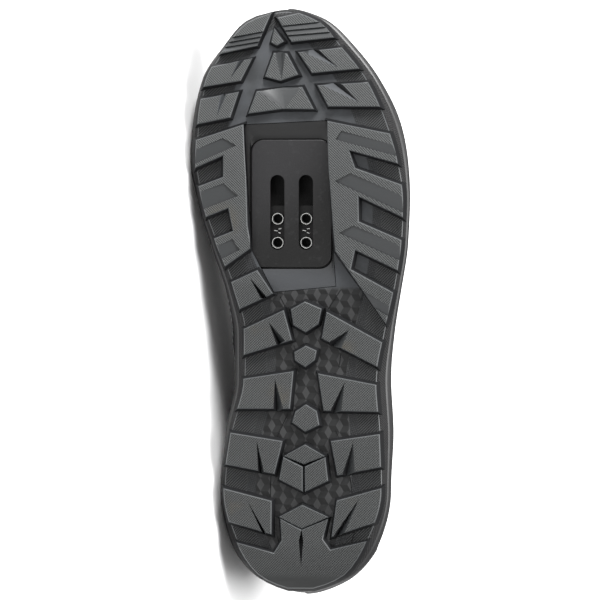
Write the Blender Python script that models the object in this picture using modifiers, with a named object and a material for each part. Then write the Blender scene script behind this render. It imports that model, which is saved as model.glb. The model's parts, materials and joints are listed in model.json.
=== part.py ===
"""A left cycling shoe that lies on its medial side: hollow upper, midsole, lugged rubber outsole, cleat bed.

It is modelled upright in the shoe's own frame, with X towards the medial side, Y from the heel to the toe
and Z up from the ground that the sole stands on. An empty then carries every piece to the pose in which
the shoe lies still on a floor.
"""

import math

import bmesh
import bpy
import numpy as np
from mathutils import Matrix, Vector

# Driving sizes, in metres
SHOE_LENGTH = 0.283
TREAD_WIDTH = 0.102
FLARE = 0.004  # how far the midsole's top edge stands out past the tread
GAP = 0.0003  # between two pieces that touch
CURVED_GAP = 0.0005  # the same on a doubly curved face, whose flat facets cut its hollows

TOE_SPRING = 0.0205
ARCH_LIFT = 0.003
HEEL_BEVEL = 0.0065
BALL_SEAT = 0.0160  # height of the upper's lower edge at the ball
HEEL_SEAT = 0.0245
TOE_SEAT_RISE = 0.0145

LUG_HEIGHT = 0.0045
LUG_SETBACK = 0.0007
BASE_THICKNESS = 0.003

WALL = 0.0022
SEAM_INSET = 0.002  # from the midsole's top edge in to the upper
MARGIN = 0.006  # the upper's lower edge, turned in under the foot
COLLAR_RISE = 0.061
INSTEP_RISE = 0.061
TOE_RISE = 0.0255
OVERLAY = 0.0014
TONGUE_THICKNESS = 0.004
INSOLE_THICKNESS = 0.0045
INSOLE_RIM = 0.0015
INSOLE_PLAY = 0.0014  # from the insole to the upper's wall and to its turned-in edge

STRAP_WIDTH = 0.021
STRAP_THICKNESS = 0.002

PLATE_THICKNESS = 0.005
BED_HEIGHT = 0.0067  # the cleat bed above the ground
BED_WIDTH = 0.0408
BED_LENGTH = 0.0637
BED_CORNER = 0.0068
BED_PLACE = (0.6657, 0.124)  # the bed's middle: along the sole, and from its middle line to its edge
RAMP_FRONT = 0.012
RAMP_BACK = 0.015
SLOT_SPACING = 0.014
SLOT_WIDTH = 0.007
SLOT_LENGTH = 0.0366
SLOT_SHIFT = 0.0042  # the slots' middle behind the bed's
NUT_THICKNESS = 0.0022
NUT_WIDTH = 0.0235
NUT_CORNER = 0.003
NUT_CLEARANCE = 0.0005
BARREL_DIAMETER = 0.0059
BARREL_REACH = 0.0018  # down into the slot, from the bed's back
BARREL_ROWS = 0.0117
THREAD_BORE = 0.0042

STEP = 0.010  # pieces that follow the sole's curve are divided this often along it
SIDE_STEPS = 2  # columns between two rows of the tables
DENSITY = {"rubber": 1200, "foam": 600, "plastic": 1100, "steel": 7850, "leather": 900, "textile": 300}

MEDIAL = 1
LATERAL = -1


def table(columns, rows):
    """Named columns of a short table."""
    return dict(zip(columns.split(), np.array(rows, float).T))


# The sole from heel to toe. along: share of the length. medial, lateral: the tread's edges as shares of half
# its width. out_medial, out_lateral: shares of the flare. spring, arch, bevel: shares of the heights that
# lift the tread off the ground. heel: 1 where the foot sits at heel height, 0 at the ball's height.
SOLE = table(
    "along medial lateral out_medial out_lateral spring arch bevel heel",
    [
        (0.000, 0.013, -0.013, 0.15, 0.30, 0.00, 0.00, 1.00, 1.00),
        (0.021, 0.367, 0.373, 0.50, 0.45, 0.00, 0.00, 0.55, 1.00),
        (0.082, 0.610, 0.630, 1.10, 1.15, 0.00, 0.00, 0.00, 1.00),
        (0.170, 0.735, 0.778, 0.70, 0.72, 0.00, 0.00, 0.00, 0.98),
        (0.270, 0.668, 0.762, 0.95, 1.25, 0.00, 0.00, 0.00, 0.92),
        (0.360, 0.547, 0.725, 1.45, 1.45, 0.00, 0.65, 0.00, 0.78),
        (0.440, 0.545, 0.795, 1.50, 0.95, 0.00, 1.00, 0.00, 0.60),
        (0.520, 0.645, 0.897, 1.25, 0.52, 0.00, 0.45, 0.00, 0.38),
        (0.600, 0.815, 0.970, 0.90, 0.45, 0.00, 0.00, 0.00, 0.15),
        (0.670, 0.945, 0.985, 0.70, 0.50, 0.00, 0.00, 0.00, 0.04),
        (0.740, 1.008, 0.930, 0.88, 1.00, 0.00, 0.00, 0.00, 0.00),
        (0.810, 0.991, 0.807, 0.78, 1.45, 0.13, 0.00, 0.00, 0.00),
        (0.878, 0.929, 0.626, 0.62, 1.20, 0.36, 0.00, 0.00, 0.00),
        (0.938, 0.745, 0.363, 0.40, 1.10, 0.64, 0.00, 0.00, 0.00),
        (0.981, 0.536, 0.140, 0.30, 0.55, 0.87, 0.00, 0.00, 0.00),
        (1.000, 0.185, -0.185, 0.15, 0.30, 1.00, 0.00, 0.00, 0.00),
    ],
)

# The upper over the same rows. edge: where the row ends at the collar, the throat or the vamp's ridge, as a
# share of the length. middle, half: that end's place across, as shares of half the tread's width. rise: its
# height over the foot bed, as a share of the zone's own rise. drop: how much lower the lateral collar is.
# dip: degrees down from level at that end. lean_medial, lean_lateral: degrees up from level at the foot bed.
# low, high: the lengths of the curve's two handles, as shares of the row's chord.
UPPER = table(
    "edge middle half rise drop dip lean_medial lean_lateral low high",
    [
        (0.030, 0.00, 0.00, 1.00, 0.00, 80, 72, 72, 0.36, 0.34),
        (0.036, 0.00, 0.18, 1.00, 0.00, 80, 80, 80, 0.36, 0.34),
        (0.085, 0.01, 0.42, 0.95, 0.02, 84, 90, 90, 0.36, 0.34),
        (0.160, 0.02, 0.58, 0.84, 0.04, 88, 95, 94, 0.36, 0.34),
        (0.245, 0.02, 0.61, 0.77, 0.05, 88, 90, 94, 0.36, 0.34),
        (0.325, 0.02, 0.55, 0.83, 0.04, 80, 68, 96, 0.38, 0.34),
        (0.395, 0.03, 0.39, 1.00, 0.00, 58, 60, 97, 0.38, 0.34),
        (0.470, 0.04, 0.30, 0.965, 0.00, 46, 64, 94, 0.36, 0.36),
        (0.540, 0.06, 0.27, 0.862, 0.00, 38, 74, 90, 0.34, 0.38),
        (0.615, 0.09, 0.22, 0.735, 0.00, 28, 84, 88, 0.32, 0.40),
        (0.665, 0.12, 0.00, 1.530, 0.00, 0, 88, 88, 0.31, 0.42),
        (0.725, 0.15, 0.00, 1.390, 0.00, 0, 88, 88, 0.31, 0.42),
        (0.790, 0.18, 0.00, 1.220, 0.00, 0, 85, 85, 0.32, 0.42),
        (0.845, 0.18, 0.00, 1.090, 0.00, 0, 78, 80, 0.34, 0.42),
        (0.885, 0.17, 0.00, 1.000, 0.00, 0, 74, 76, 0.36, 0.42),
        (0.915, 0.16, 0.00, 0.900, 0.00, 0, 72, 72, 0.38, 0.42),
    ],
)
TIP = len(SOLE["along"]) - 1  # the row at the toe's tip
AROUND = 2 * TIP  # rows all the way round
THROAT_TOP = 6
VAMP_POINT = 10  # forward of this row the two sides of the upper meet
ZONE_RISE = np.repeat(
    (COLLAR_RISE, INSTEP_RISE, TOE_RISE), (THROAT_TOP, VAMP_POINT - THROAT_TOP, TIP + 1 - VAMP_POINT)
)

# The tread's side lugs. front and back: where the lug's two cross edges meet the tread's outer edge and the
# lug's inner end, as shares of the length. in_front, in_back: that inner end, from 0 on the middle line to 1
# at the edge. slit: the slit's place across its open end, where 0 is the inner end, and its width there, as
# shares of the lug. opens: 1 for a slit that opens towards the toe, -1 towards the heel, 0 for no slit.
SIDE_LUGS = {
    MEDIAL: [
        # front_out front_in in_front back_in back_out in_back slit width opens
        (0.996, 0.988, 0.58, 0.940, 0.926, 0.47, 0.00, 0.00, 0),
        (0.902, 0.917, 0.48, 0.879, 0.869, 0.57, 0.34, 0.10, 1),
        (0.846, 0.858, 0.58, 0.815, 0.804, 0.66, 0.44, 0.15, 1),
        (0.774, 0.800, 0.52, 0.750, 0.728, 0.64, 0.00, 0.00, 0),
        (0.694, 0.716, 0.64, 0.659, 0.643, 0.68, 0.00, 0.00, 0),
        (0.605, 0.618, 0.70, 0.579, 0.559, 0.69, 0.00, 0.00, 0),
        (0.530, 0.550, 0.65, 0.511, 0.485, 0.53, 0.36, 0.14, -1),
        (0.449, 0.481, 0.42, 0.431, 0.406, 0.32, 0.27, 0.13, -1),
        (0.363, 0.376, 0.26, 0.313, 0.313, 0.26, 0.25, 0.11, -1),
        (0.270, 0.256, 0.30, 0.201, 0.217, 0.37, 0.27, 0.12, -1),
        (0.174, 0.153, 0.40, 0.097, 0.118, 0.45, 0.20, 0.10, -1),
        (0.081, 0.063, 0.46, 0.008, 0.014, 0.03, 0.00, 0.00, 0),
    ],
    LATERAL: [
        (0.996, 0.988, -0.22, 0.947, 0.954, 0.17, 0.00, 0.00, 0),
        (0.935, 0.927, 0.25, 0.892, 0.899, 0.36, 0.34, 0.16, 1),
        (0.874, 0.869, 0.38, 0.834, 0.833, 0.44, 0.36, 0.12, 1),
        (0.784, 0.807, 0.40, 0.758, 0.735, 0.50, 0.00, 0.00, 0),
        (0.697, 0.726, 0.44, 0.678, 0.642, 0.44, 0.00, 0.00, 0),
        (0.601, 0.634, 0.42, 0.587, 0.551, 0.40, 0.00, 0.00, 0),
        (0.510, 0.552, 0.42, 0.512, 0.462, 0.32, 0.00, 0.00, 0),
        (0.426, 0.478, 0.17, 0.434, 0.386, 0.13, 0.22, 0.16, -1),
        (0.353, 0.372, 0.13, 0.310, 0.308, 0.24, 0.21, 0.18, -1),
        (0.268, 0.256, 0.36, 0.199, 0.213, 0.45, 0.20, 0.14, -1),
        (0.175, 0.154, 0.45, 0.093, 0.118, 0.46, 0.22, 0.10, -1),
        (0.084, 0.069, 0.48, 0.008, 0.014, 0.03, 0.00, 0.00, 0),
    ],
}
SLIT_DEPTH = 0.88  # of the lug, from its open end

# The rails that join the teeth beside the cleat bed, front to back: along, inner edge, outer edge.
RAILS = {
    MEDIAL: [(0.800, 0.50, 0.58), (0.713, 0.51, 0.64), (0.640, 0.57, 0.72), (0.580, 0.67, 0.76)],
    LATERAL: [(0.807, 0.38, 0.52), (0.732, 0.30, 0.50), (0.628, 0.27, 0.46), (0.513, 0.29, 0.44)],
}

# The lugs on the middle line, front to back corners as (along, across) pairs: 1 is the medial edge.
CENTRE_LUGS = [
    [(0.969, 0.20), (0.946, 0.21), (0.941, 0.11), (0.947, 0.00)],
    [(0.926, 0.15), (0.886, 0.25), (0.879, 0.07), (0.889, -0.16), (0.925, -0.05)],
    [(0.859, 0.36), (0.822, 0.45), (0.830, 0.08), (0.829, -0.26), (0.866, -0.18)],
    [(0.496, 0.12), (0.483, 0.31), (0.457, 0.29), (0.445, 0.12), (0.459, -0.05), (0.484, -0.09)],
    [(0.420, 0.10), (0.409, 0.25), (0.396, 0.23), (0.385, 0.08), (0.397, -0.05), (0.412, -0.06)],
    [(0.319, 0.03), (0.307, 0.16), (0.289, 0.18), (0.274, 0.00), (0.285, -0.18), (0.308, -0.13)],
    [(0.250, -0.01), (0.229, 0.25), (0.218, -0.01), (0.229, -0.27)],
    [(0.223, 0.26), (0.191, 0.29), (0.171, 0.00), (0.211, 0.01)],
    [(0.223, -0.28), (0.211, -0.04), (0.171, -0.04), (0.189, -0.32)],
    [(0.146, 0.00), (0.126, 0.30), (0.108, 0.00), (0.126, -0.35)],
    [(0.124, 0.29), (0.086, 0.29), (0.050, 0.46), (0.050, 0.03), (0.104, 0.03)],
    [(0.124, -0.36), (0.104, -0.03), (0.050, -0.03), (0.050, -0.48), (0.088, -0.32)],
]

# The window in the rubber, where the cleat plate shows: corners from the bed's middle, along and across, as
# shares of half its length and half its width.
WINDOW = [(1.22, 1.14), (1.28, -0.87), (-0.03, -0.94), (-1.27, -1.08), (-1.36, 0.43), (-0.71, 0.96)]

# The midsole's side, upwards: height and reach as shares of its own, and a step outwards in metres.
MIDSOLE_SIDE = [(0.00, 0.10, 0.0), (0.30, 0.62, 0.0), (0.34, 0.62, 0.0007), (0.62, 0.92, 0.0007),
                (0.66, 0.92, 0.0), (0.90, 1.00, 0.0), (1.00, 0.90, -0.0008)]

# The straps: the row that each crosses at its middle.
STRAPS = {"upper": 6.45, "middle": 7.60, "lower": 8.72}
STRAP_FROM = 0.42  # up the medial side, where 0 is the foot bed and 1 the throat
STRAP_TO = 0.40  # up the lateral side, where the free end lies
ROW_PITCH = 0.078  # between two rows at the throat, as a share of the length

# The moulded overlays: the columns where each starts and ends, and its lower and upper edge up the wall, where 0
# is the foot bed and 1 the collar or the ridge.
OVERLAYS = {
    "toe_cap": (TIP - 2.6, TIP + 2.6, 0.04, 0.50),
    "heel_counter": (-2.0, 2.0, 0.04, 0.62),
}


def smooth(keys, values, at, start=0.0, end=0.0):
    """A curve through the rows that never overshoots them, with the slopes given at its two ends."""
    keys = np.asarray(keys, float)
    values = np.asarray(values, float)
    rise = np.diff(values) / np.diff(keys)
    same = rise[:-1] * rise[1:] > 0
    total = np.where(same, rise[:-1] + rise[1:], 1.0)
    inner = np.where(same, 2 * rise[:-1] * rise[1:] / total, 0.0)
    slope = np.concatenate([[start], inner, [end]])
    at = np.clip(at, keys[0], keys[-1])
    i = np.clip(np.searchsorted(keys, at, side="right") - 1, 0, len(keys) - 2)
    width = keys[i + 1] - keys[i]
    t = (at - keys[i]) / width
    first = values[i] * (1 + 2 * t) * (1 - t) ** 2 + slope[i] * width * t * (1 - t) ** 2
    return first + values[i + 1] * t**2 * (3 - 2 * t) + slope[i + 1] * width * t**2 * (t - 1)


ROWS = np.arange(TIP + 1)


def by_row(values, row, start=0.0, end=0.0):
    return smooth(ROWS, values, row, start, end)


def by_length(column, y):
    return smooth(SOLE["along"], SOLE[column], y / SHOE_LENGTH)


def ground(y):
    """Height of the tread over the ground that the sole stands on."""
    lift = ARCH_LIFT * by_length("arch", y) + HEEL_BEVEL * by_length("bevel", y)
    return TOE_SPRING * by_length("spring", y) + lift


def tread_root(y):
    return ground(y) + LUG_HEIGHT


def seat(y):
    """Height of the upper's lower edge, where it meets the midsole."""
    heel = (HEEL_SEAT - BALL_SEAT) * by_length("heel", y)
    return BALL_SEAT + heel + TOE_SEAT_RISE * by_length("spring", y)


def side_of(column):
    """The side and the row of a column that runs from the heel, medial side first, round to the heel."""
    column = column % AROUND
    return (MEDIAL, column) if column <= TIP else (LATERAL, AROUND - column)


def tread_edge(row, side):
    name, other = ("medial", "lateral") if side == MEDIAL else ("lateral", "medial")
    start = (SOLE[name][1] + SOLE[other][1]) / 2
    end = -(SOLE[name][-2] + SOLE[other][-2]) / 2
    return side * TREAD_WIDTH / 2 * by_row(SOLE[name], row, start, end)


def outline(column, out=0.0):
    """A point of the tread's outline, moved outwards along its normal."""

    def place(at):
        side, row = side_of(at)
        return np.array((tread_edge(row, side), SHOE_LENGTH * by_row(SOLE["along"], row)))

    step = 0.05
    along = place(column + step) - place(column - step)
    normal = np.array((along[1], -along[0])) / np.hypot(*along)
    return place(column) + out * normal, normal


def flare(column):
    side, row = side_of(column)
    return FLARE * by_row(SOLE["out_medial" if side == MEDIAL else "out_lateral"], row)


def tread_place(along, across):
    """A point of the tread from its share of the length and its place between the two edges, -1 to 1."""
    fine = np.linspace(0, TIP, 40 * TIP + 1)
    row = np.interp(along, by_row(SOLE["along"], fine), fine)
    medial = tread_edge(row, MEDIAL) - LUG_SETBACK
    lateral = tread_edge(row, LATERAL) + LUG_SETBACK
    return (medial + lateral) / 2 + across * (medial - lateral) / 2, along * SHOE_LENGTH


def bed_at():
    return tread_place(*BED_PLACE)


def columns_between(start, end):
    """The shared columns from one to another, with both ends."""
    inner = np.arange(math.ceil(start * SIDE_STEPS + 1e-6), math.floor(end * SIDE_STEPS - 1e-6) + 1)
    return [start, *(inner / SIDE_STEPS), end]


def bezier(points, t):
    a, b, c, d = points
    return a * (1 - t) ** 3 + 3 * b * t * (1 - t) ** 2 + 3 * c * t**2 * (1 - t) + d * t**3


def upper_row(column):
    """The foot end and the top end of one row of the upper, with the curve's direction at each."""
    side, row = side_of(column)
    base, normal = outline(column, flare(column) - SEAM_INSET)
    foot = np.array((*base, seat(base[1])))
    half = by_row(UPPER["half"], row, UPPER["half"][1])
    x = TREAD_WIDTH / 2 * (by_row(UPPER["middle"], row) + side * half)
    y = SHOE_LENGTH * by_row(UPPER["edge"], row)
    rise = by_row(ZONE_RISE * UPPER["rise"], row)
    drop = COLLAR_RISE * by_row(UPPER["drop"], row) if side == LATERAL else 0.0
    top = np.array((x, y, seat(y) + rise - drop))
    lean = math.radians(by_row(UPPER["lean_medial" if side == MEDIAL else "lean_lateral"], row))
    dip = math.radians(by_row(UPPER["dip"], row))
    up = np.array((*(normal * math.cos(lean)), math.sin(lean)))
    down = np.array((*(normal * math.cos(dip)), -math.sin(dip)))
    return foot, top, up, down, row


def wall_point(column, height):
    """The upper's outer face: height runs from 0 at the foot bed to 1 at the collar, throat or ridge."""
    foot, top, up, down, row = upper_row(column)
    chord = np.linalg.norm(top - foot)
    low = chord * by_row(UPPER["low"], row)
    high = chord * by_row(UPPER["high"], row)
    return bezier((foot, foot + low * up, top + high * down, top), height)


def over_throat(row, across):
    """The same face carried on over the throat: 0 to 1 up the medial side, 1 to 2 over, 2 to 3 down."""
    if across <= 1:
        return wall_point(row, across)
    if across >= 2:
        return wall_point(AROUND - row, 3 - across)
    _, start, _, from_start, _ = upper_row(row)
    _, end, _, from_end, _ = upper_row(AROUND - row)
    reach = 0.38 * np.linalg.norm(end - start)
    return bezier((start, start - reach * from_start, end - reach * from_end, end), across - 1)


def lifted(surface, u, v, out, v_range=(0.0, 3.0)):
    """A point of the surface, moved out along its normal."""
    step = 0.01
    low, high = max(v - step, v_range[0]), min(v + step, v_range[1])
    normal = np.cross(surface(u + step, v) - surface(u - step, v), surface(u, high) - surface(u, low))
    return surface(u, v) + out * normal / np.linalg.norm(normal)


def clear_scene():
    for obj in list(bpy.data.objects):
        bpy.data.objects.remove(obj)
    for collection in list(bpy.data.collections):
        bpy.data.collections.remove(collection)


def new_collection(name, hidden=False):
    collection = bpy.data.collections.new(name)
    bpy.context.scene.collection.children.link(collection)
    collection.hide_render = hidden
    return collection


def material(name, color, roughness, metallic=0.0):
    made = bpy.data.materials.new(name)
    made.use_nodes = True
    shader = made.node_tree.nodes["Principled BSDF"]
    shader.inputs["Base Color"].default_value = (*color, 1)
    shader.inputs["Roughness"].default_value = roughness
    shader.inputs["Metallic"].default_value = metallic
    made["density"] = DENSITY[name.split("_")[0]]
    return made


def add_object(name, bm, finish=None, collection=None):
    """A new object from a bmesh: a piece of the shoe if it has a finish, or else a cutter."""
    mesh = bpy.data.meshes.new(name)
    bm.to_mesh(mesh)
    bm.free()
    made = bpy.data.objects.new(name, mesh)
    (collection or SHOE).objects.link(made)
    if finish:
        mesh.materials.append(finish)
        mesh.shade_smooth()
        mesh.set_sharp_from_angle(angle=math.radians(35))
    else:
        made.hide_render = True
        made.display_type = "WIRE"
    return made


def combine(target, tool, operation):
    boolean = target.modifiers.new(tool.name, "BOOLEAN")
    boolean.object = tool
    boolean.operation = operation
    boolean.solver = "EXACT"
    boolean.use_self = operation == "UNION"


def prism(bm, corners):
    """An upright prism on a plan outline, from 0 to 1 in height."""
    face = bm.faces.new([bm.verts.new((x, y, 0)) for x, y in corners])
    face.normal_update()
    if face.normal.z > 0:
        face.normal_flip()
    raised = bmesh.ops.extrude_face_region(bm, geom=[face])["geom"]
    corners = [item for item in raised if isinstance(item, bmesh.types.BMVert)]
    bmesh.ops.translate(bm, vec=(0, 0, 1), verts=corners)
    bmesh.ops.recalc_face_normals(bm, faces=bm.faces)


def drape(bm, low, high):
    """Bends unit prisms to the sole: their feet follow one height along it, and their tops another."""
    for y in np.arange(STEP, SHOE_LENGTH, STEP):
        geometry = bm.verts[:] + bm.edges[:] + bm.faces[:]
        bmesh.ops.bisect_plane(bm, geom=geometry, dist=1e-6, plane_co=(0, y, 0), plane_no=(0, 1, 0))
    for vert in bm.verts:
        vert.co.z = high(vert.co.y) if vert.co.z > 0.5 else low(vert.co.y)


def stack(bm, loops):
    """A closed body from like loops, lowest first, each laddered across where it ends the body."""
    rings = [[bm.verts.new(point) for point in loop] for loop in loops]
    count = len(rings[0])
    for below, above in zip(rings, rings[1:]):
        for i in range(count):
            j = (i + 1) % count
            bm.faces.new((below[i], below[j], above[j], above[i]))
    for ring in (rings[0], rings[-1]):
        for i in range(count // 2):
            corners = [ring[i], ring[i + 1], ring[(count - i - 1) % count], ring[(count - i) % count]]
            bm.faces.new(list(dict.fromkeys(corners)))
    bmesh.ops.recalc_face_normals(bm, faces=bm.faces)


def sheet(bm, surface, columns, heights, out, v_range=(0.0, 3.0)):
    """An open face of quads on the surface's own grid, moved out from it."""
    grid = [[bm.verts.new(lifted(surface, u, v, out, v_range)) for v in heights] for u in columns]
    for near, far in zip(grid, grid[1:]):
        for k in range(len(heights) - 1):
            bm.faces.new((near[k], far[k], far[k + 1], near[k + 1]))
    return grid


def thicken(obj, thickness, outwards=False):
    solidify = obj.modifiers.new("wall", "SOLIDIFY")
    solidify.thickness = thickness
    solidify.offset = 1 if outwards else -1
    solidify.use_even_offset = True
    solidify.use_quality_normals = True


def rounded_rectangle(middle, width, length, corner, steps=5):
    """Plan corners of a rectangle with round corners."""
    points = []
    for turn, (sx, sy) in enumerate(((1, 1), (-1, 1), (-1, -1), (1, -1))):
        cx = middle[0] + sx * (width / 2 - corner)
        cy = middle[1] + sy * (length / 2 - corner)
        for k in range(steps + 1):
            angle = math.pi / 2 * (turn + k / steps)
            points.append((cx + corner * math.cos(angle), cy + corner * math.sin(angle)))
    return points


def inset(points, distance):
    """A convex plan outline, moved inwards by the distance."""
    points = np.array(points)
    middle = points.mean(axis=0)
    lines = []
    for a, b in zip(points, np.roll(points, -1, axis=0)):
        normal = np.array((b[1] - a[1], a[0] - b[0])) / np.hypot(*(b - a))
        normal *= np.sign(normal @ (middle - a))
        lines.append((normal, normal @ a + distance))
    return [
        np.linalg.solve(np.array((n1, n2)), np.array((d1, d2)))
        for (n1, d1), (n2, d2) in zip([lines[-1], *lines[:-1]], lines)
    ]


def side_lug(side, front_out, front_in, in_front, back_in, back_out, in_back, slit, width, opens):
    """Plan corners of a lug that reaches from the tread's edge inwards, notched by its slit."""
    front = [np.array(tread_place(front_out, side)), np.array(tread_place(front_in, side * in_front))]
    back = [np.array(tread_place(back_in, side * in_back)), np.array(tread_place(back_out, side))]
    edge = [np.array(tread_place(along, side)) for along in np.linspace(back_out, front_out, 5)[1:-1]]
    if opens == 0:
        return front + back + edge
    near, far = (back, front[::-1]) if opens < 0 else (front[::-1], back)
    mouth = [near[0] + (near[1] - near[0]) * share for share in (slit, slit + width)]
    root = far[0] + (far[1] - far[0]) * (slit + width)
    tip = mouth[1] + (root - mouth[1]) * SLIT_DEPTH
    if opens < 0:
        return [*front, back[0], mouth[0], tip, mouth[1], back[1], *edge]
    return [front[0], mouth[1], tip, mouth[0], front[1], *back, *edge]


def make_outsole(finish):
    """The rubber base with its lugs, and the window for the cleat plate."""
    edge = [outline(k / SIDE_STEPS)[0] for k in range(AROUND * SIDE_STEPS)]
    bm = bmesh.new()
    stack(bm, [[(x, y, tread_root(y) + height) for x, y in edge] for height in (0.0, BASE_THICKNESS)])
    base = add_object("outsole", bm, finish)

    bm = bmesh.new()
    for side, lugs in SIDE_LUGS.items():
        for lug in lugs:
            prism(bm, side_lug(side, *lug))
        inner = [tread_place(along, side * a) for along, a, _ in RAILS[side]]
        outer = [tread_place(along, side * b) for along, _, b in reversed(RAILS[side])]
        prism(bm, inner + outer)
    for corners in CENTRE_LUGS:
        prism(bm, [tread_place(*corner) for corner in corners])
    drape(bm, ground, lambda y: tread_root(y) + BASE_THICKNESS / 2)
    combine(base, add_object("lugs", bm, collection=TOOLS), "UNION")

    bm = bmesh.new()
    prism(bm, window_corners())
    drape(bm, lambda y: ground(y) - LUG_HEIGHT, lambda y: tread_root(y) + 2 * BASE_THICKNESS)
    combine(base, add_object("window", bm, collection=TOOLS), "DIFFERENCE")
    return base


def window_corners():
    x, y = bed_at()
    return [(x + across * BED_WIDTH / 2, y + along * BED_LENGTH / 2) for along, across in WINDOW]


def plate_top(y):
    return tread_root(y) + PLATE_THICKNESS


def slot_middle():
    return bed_at()[1] - SLOT_SHIFT


def nut_travel():
    return SLOT_LENGTH - SLOT_WIDTH - BARREL_ROWS


def nut_length():
    return BARREL_ROWS + BARREL_DIAMETER + 2 * NUT_CLEARANCE + 2 * NUT_CORNER


def nut_back_row():
    """The barrels' rear row, against the heel end of the slots."""
    return slot_middle() - SLOT_LENGTH / 2 + SLOT_WIDTH / 2


def nut_floor():
    """Height of the nut plate's lower face, on the back of the cleat bed."""
    return plate_top(bed_at()[1]) + NUT_CLEARANCE


def make_midsole(finish):
    """The side wall and foot bed, hollowed from below for the cleat plate and the sliding nut."""
    loops = []
    for height, reach, step in MIDSOLE_SIDE:
        loop = []
        for k in range(AROUND * SIDE_STEPS):
            column = k / SIDE_STEPS
            (x, y), _ = outline(column, reach * flare(column) + step)
            low = tread_root(y) + BASE_THICKNESS + GAP
            loop.append((x, y, low + (seat(y) - GAP - low) * height))
        loops.append(loop)
    bm = bmesh.new()
    stack(bm, loops)
    midsole = add_object("midsole", bm, finish)

    bm = bmesh.new()
    prism(bm, window_corners())
    drape(bm, ground, lambda y: plate_top(y) + GAP)
    combine(midsole, add_object("plate_pocket", bm, collection=TOOLS), "DIFFERENCE")

    bm = bmesh.new()
    length = nut_length() + nut_travel() + 2 * NUT_CLEARANCE
    middle = (bed_at()[0], nut_back_row() + (BARREL_ROWS + nut_travel()) / 2)
    width = NUT_WIDTH + 2 * NUT_CLEARANCE
    prism(bm, rounded_rectangle(middle, width, length, NUT_CORNER, 2))
    for vert in bm.verts:
        vert.co.z = nut_floor() + NUT_THICKNESS + NUT_CLEARANCE if vert.co.z > 0.5 else BED_HEIGHT
    combine(midsole, add_object("nut_chamber", bm, collection=TOOLS), "DIFFERENCE")
    return midsole


def make_cleat_plate(finish):
    """The nylon bed: sunk in the middle, with ramps at both ends and the two slots for the cleat's bolts."""
    bm = bmesh.new()
    prism(bm, inset(window_corners(), GAP))
    drape(bm, tread_root, plate_top)
    plate = add_object("cleat_plate", bm, finish)

    bm = bmesh.new()
    prism(bm, rounded_rectangle(bed_at(), BED_WIDTH, BED_LENGTH, BED_CORNER, 4))
    for vert in bm.verts:
        if vert.co.z > 0.5:
            vert.co.z = BED_HEIGHT
        else:
            vert.co.z = BED_HEIGHT - LUG_HEIGHT
            vert.co.y += RAMP_FRONT if vert.co.y > bed_at()[1] else -RAMP_BACK
    combine(plate, add_object("bed", bm, collection=TOOLS), "DIFFERENCE")

    bm = bmesh.new()
    for side in (MEDIAL, LATERAL):
        middle = (bed_at()[0] + side * SLOT_SPACING / 2, slot_middle())
        prism(bm, rounded_rectangle(middle, SLOT_WIDTH, SLOT_LENGTH, SLOT_WIDTH / 2 - 1e-5, 4))
    for vert in bm.verts:
        vert.co.z = 2 * plate_top(bed_at()[1]) if vert.co.z > 0.5 else 0.0
    combine(plate, add_object("slots", bm, collection=TOOLS), "DIFFERENCE")
    return plate


def make_cleat_nut(finish):
    """The steel plate over the bed, with a threaded barrel down into each slot at two rows."""
    middle_y = nut_back_row() + BARREL_ROWS / 2
    bm = bmesh.new()
    prism(bm, rounded_rectangle((0, 0), NUT_WIDTH, nut_length(), NUT_CORNER, 3))
    for vert in bm.verts:
        vert.co.z *= NUT_THICKNESS
    nut = add_object("cleat_nut", bm, finish)

    reach = nut_floor() - BED_HEIGHT - BARREL_REACH
    for name, diameter, overlap, operation in (
        ("barrels", BARREL_DIAMETER, NUT_THICKNESS / 2, "UNION"),
        ("threads", THREAD_BORE, 2 * NUT_THICKNESS, "DIFFERENCE"),
    ):
        bm = bmesh.new()
        low = -reach if operation == "UNION" else -2 * reach - NUT_THICKNESS
        for x in (-SLOT_SPACING / 2, SLOT_SPACING / 2):
            for y in (-BARREL_ROWS / 2, BARREL_ROWS / 2):
                bmesh.ops.create_cone(
                    bm,
                    cap_ends=True,
                    segments=16,
                    radius1=diameter / 2,
                    radius2=diameter / 2,
                    depth=overlap - low,
                    matrix=Matrix.Translation((x, y, (low + overlap) / 2)),
                )
        tool = add_object(name, bm, collection=TOOLS)
        tool.location = (bed_at()[0], middle_y, nut_floor())
        combine(nut, tool, operation)
    nut.location = (bed_at()[0], middle_y, nut_floor())
    return nut


def make_upper(finish):
    """The lasted upper: its wall from the foot bed to the collar, throat and ridge, and its turned edge."""
    heights = np.linspace(0, 1, 9)
    columns = [k / SIDE_STEPS for k in range(AROUND * SIDE_STEPS)]
    bm = bmesh.new()
    grid = []
    for column in columns:
        rings = []
        for inwards in (MARGIN, MARGIN / 3):
            (x, y), _ = outline(column, flare(column) - SEAM_INSET - inwards)
            rings.append(bm.verts.new((x, y, seat(y))))
        rings += [bm.verts.new(wall_point(column, height)) for height in heights]
        grid.append(rings)
    for near, far in zip(grid, grid[1:] + grid[:1]):
        for k in range(len(near) - 1):
            bm.faces.new((near[k], far[k], far[k + 1], near[k + 1]))
    bmesh.ops.remove_doubles(bm, verts=bm.verts, dist=1e-6)
    upper = add_object("upper", bm, finish)
    thicken(upper, WALL)
    return upper


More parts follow.
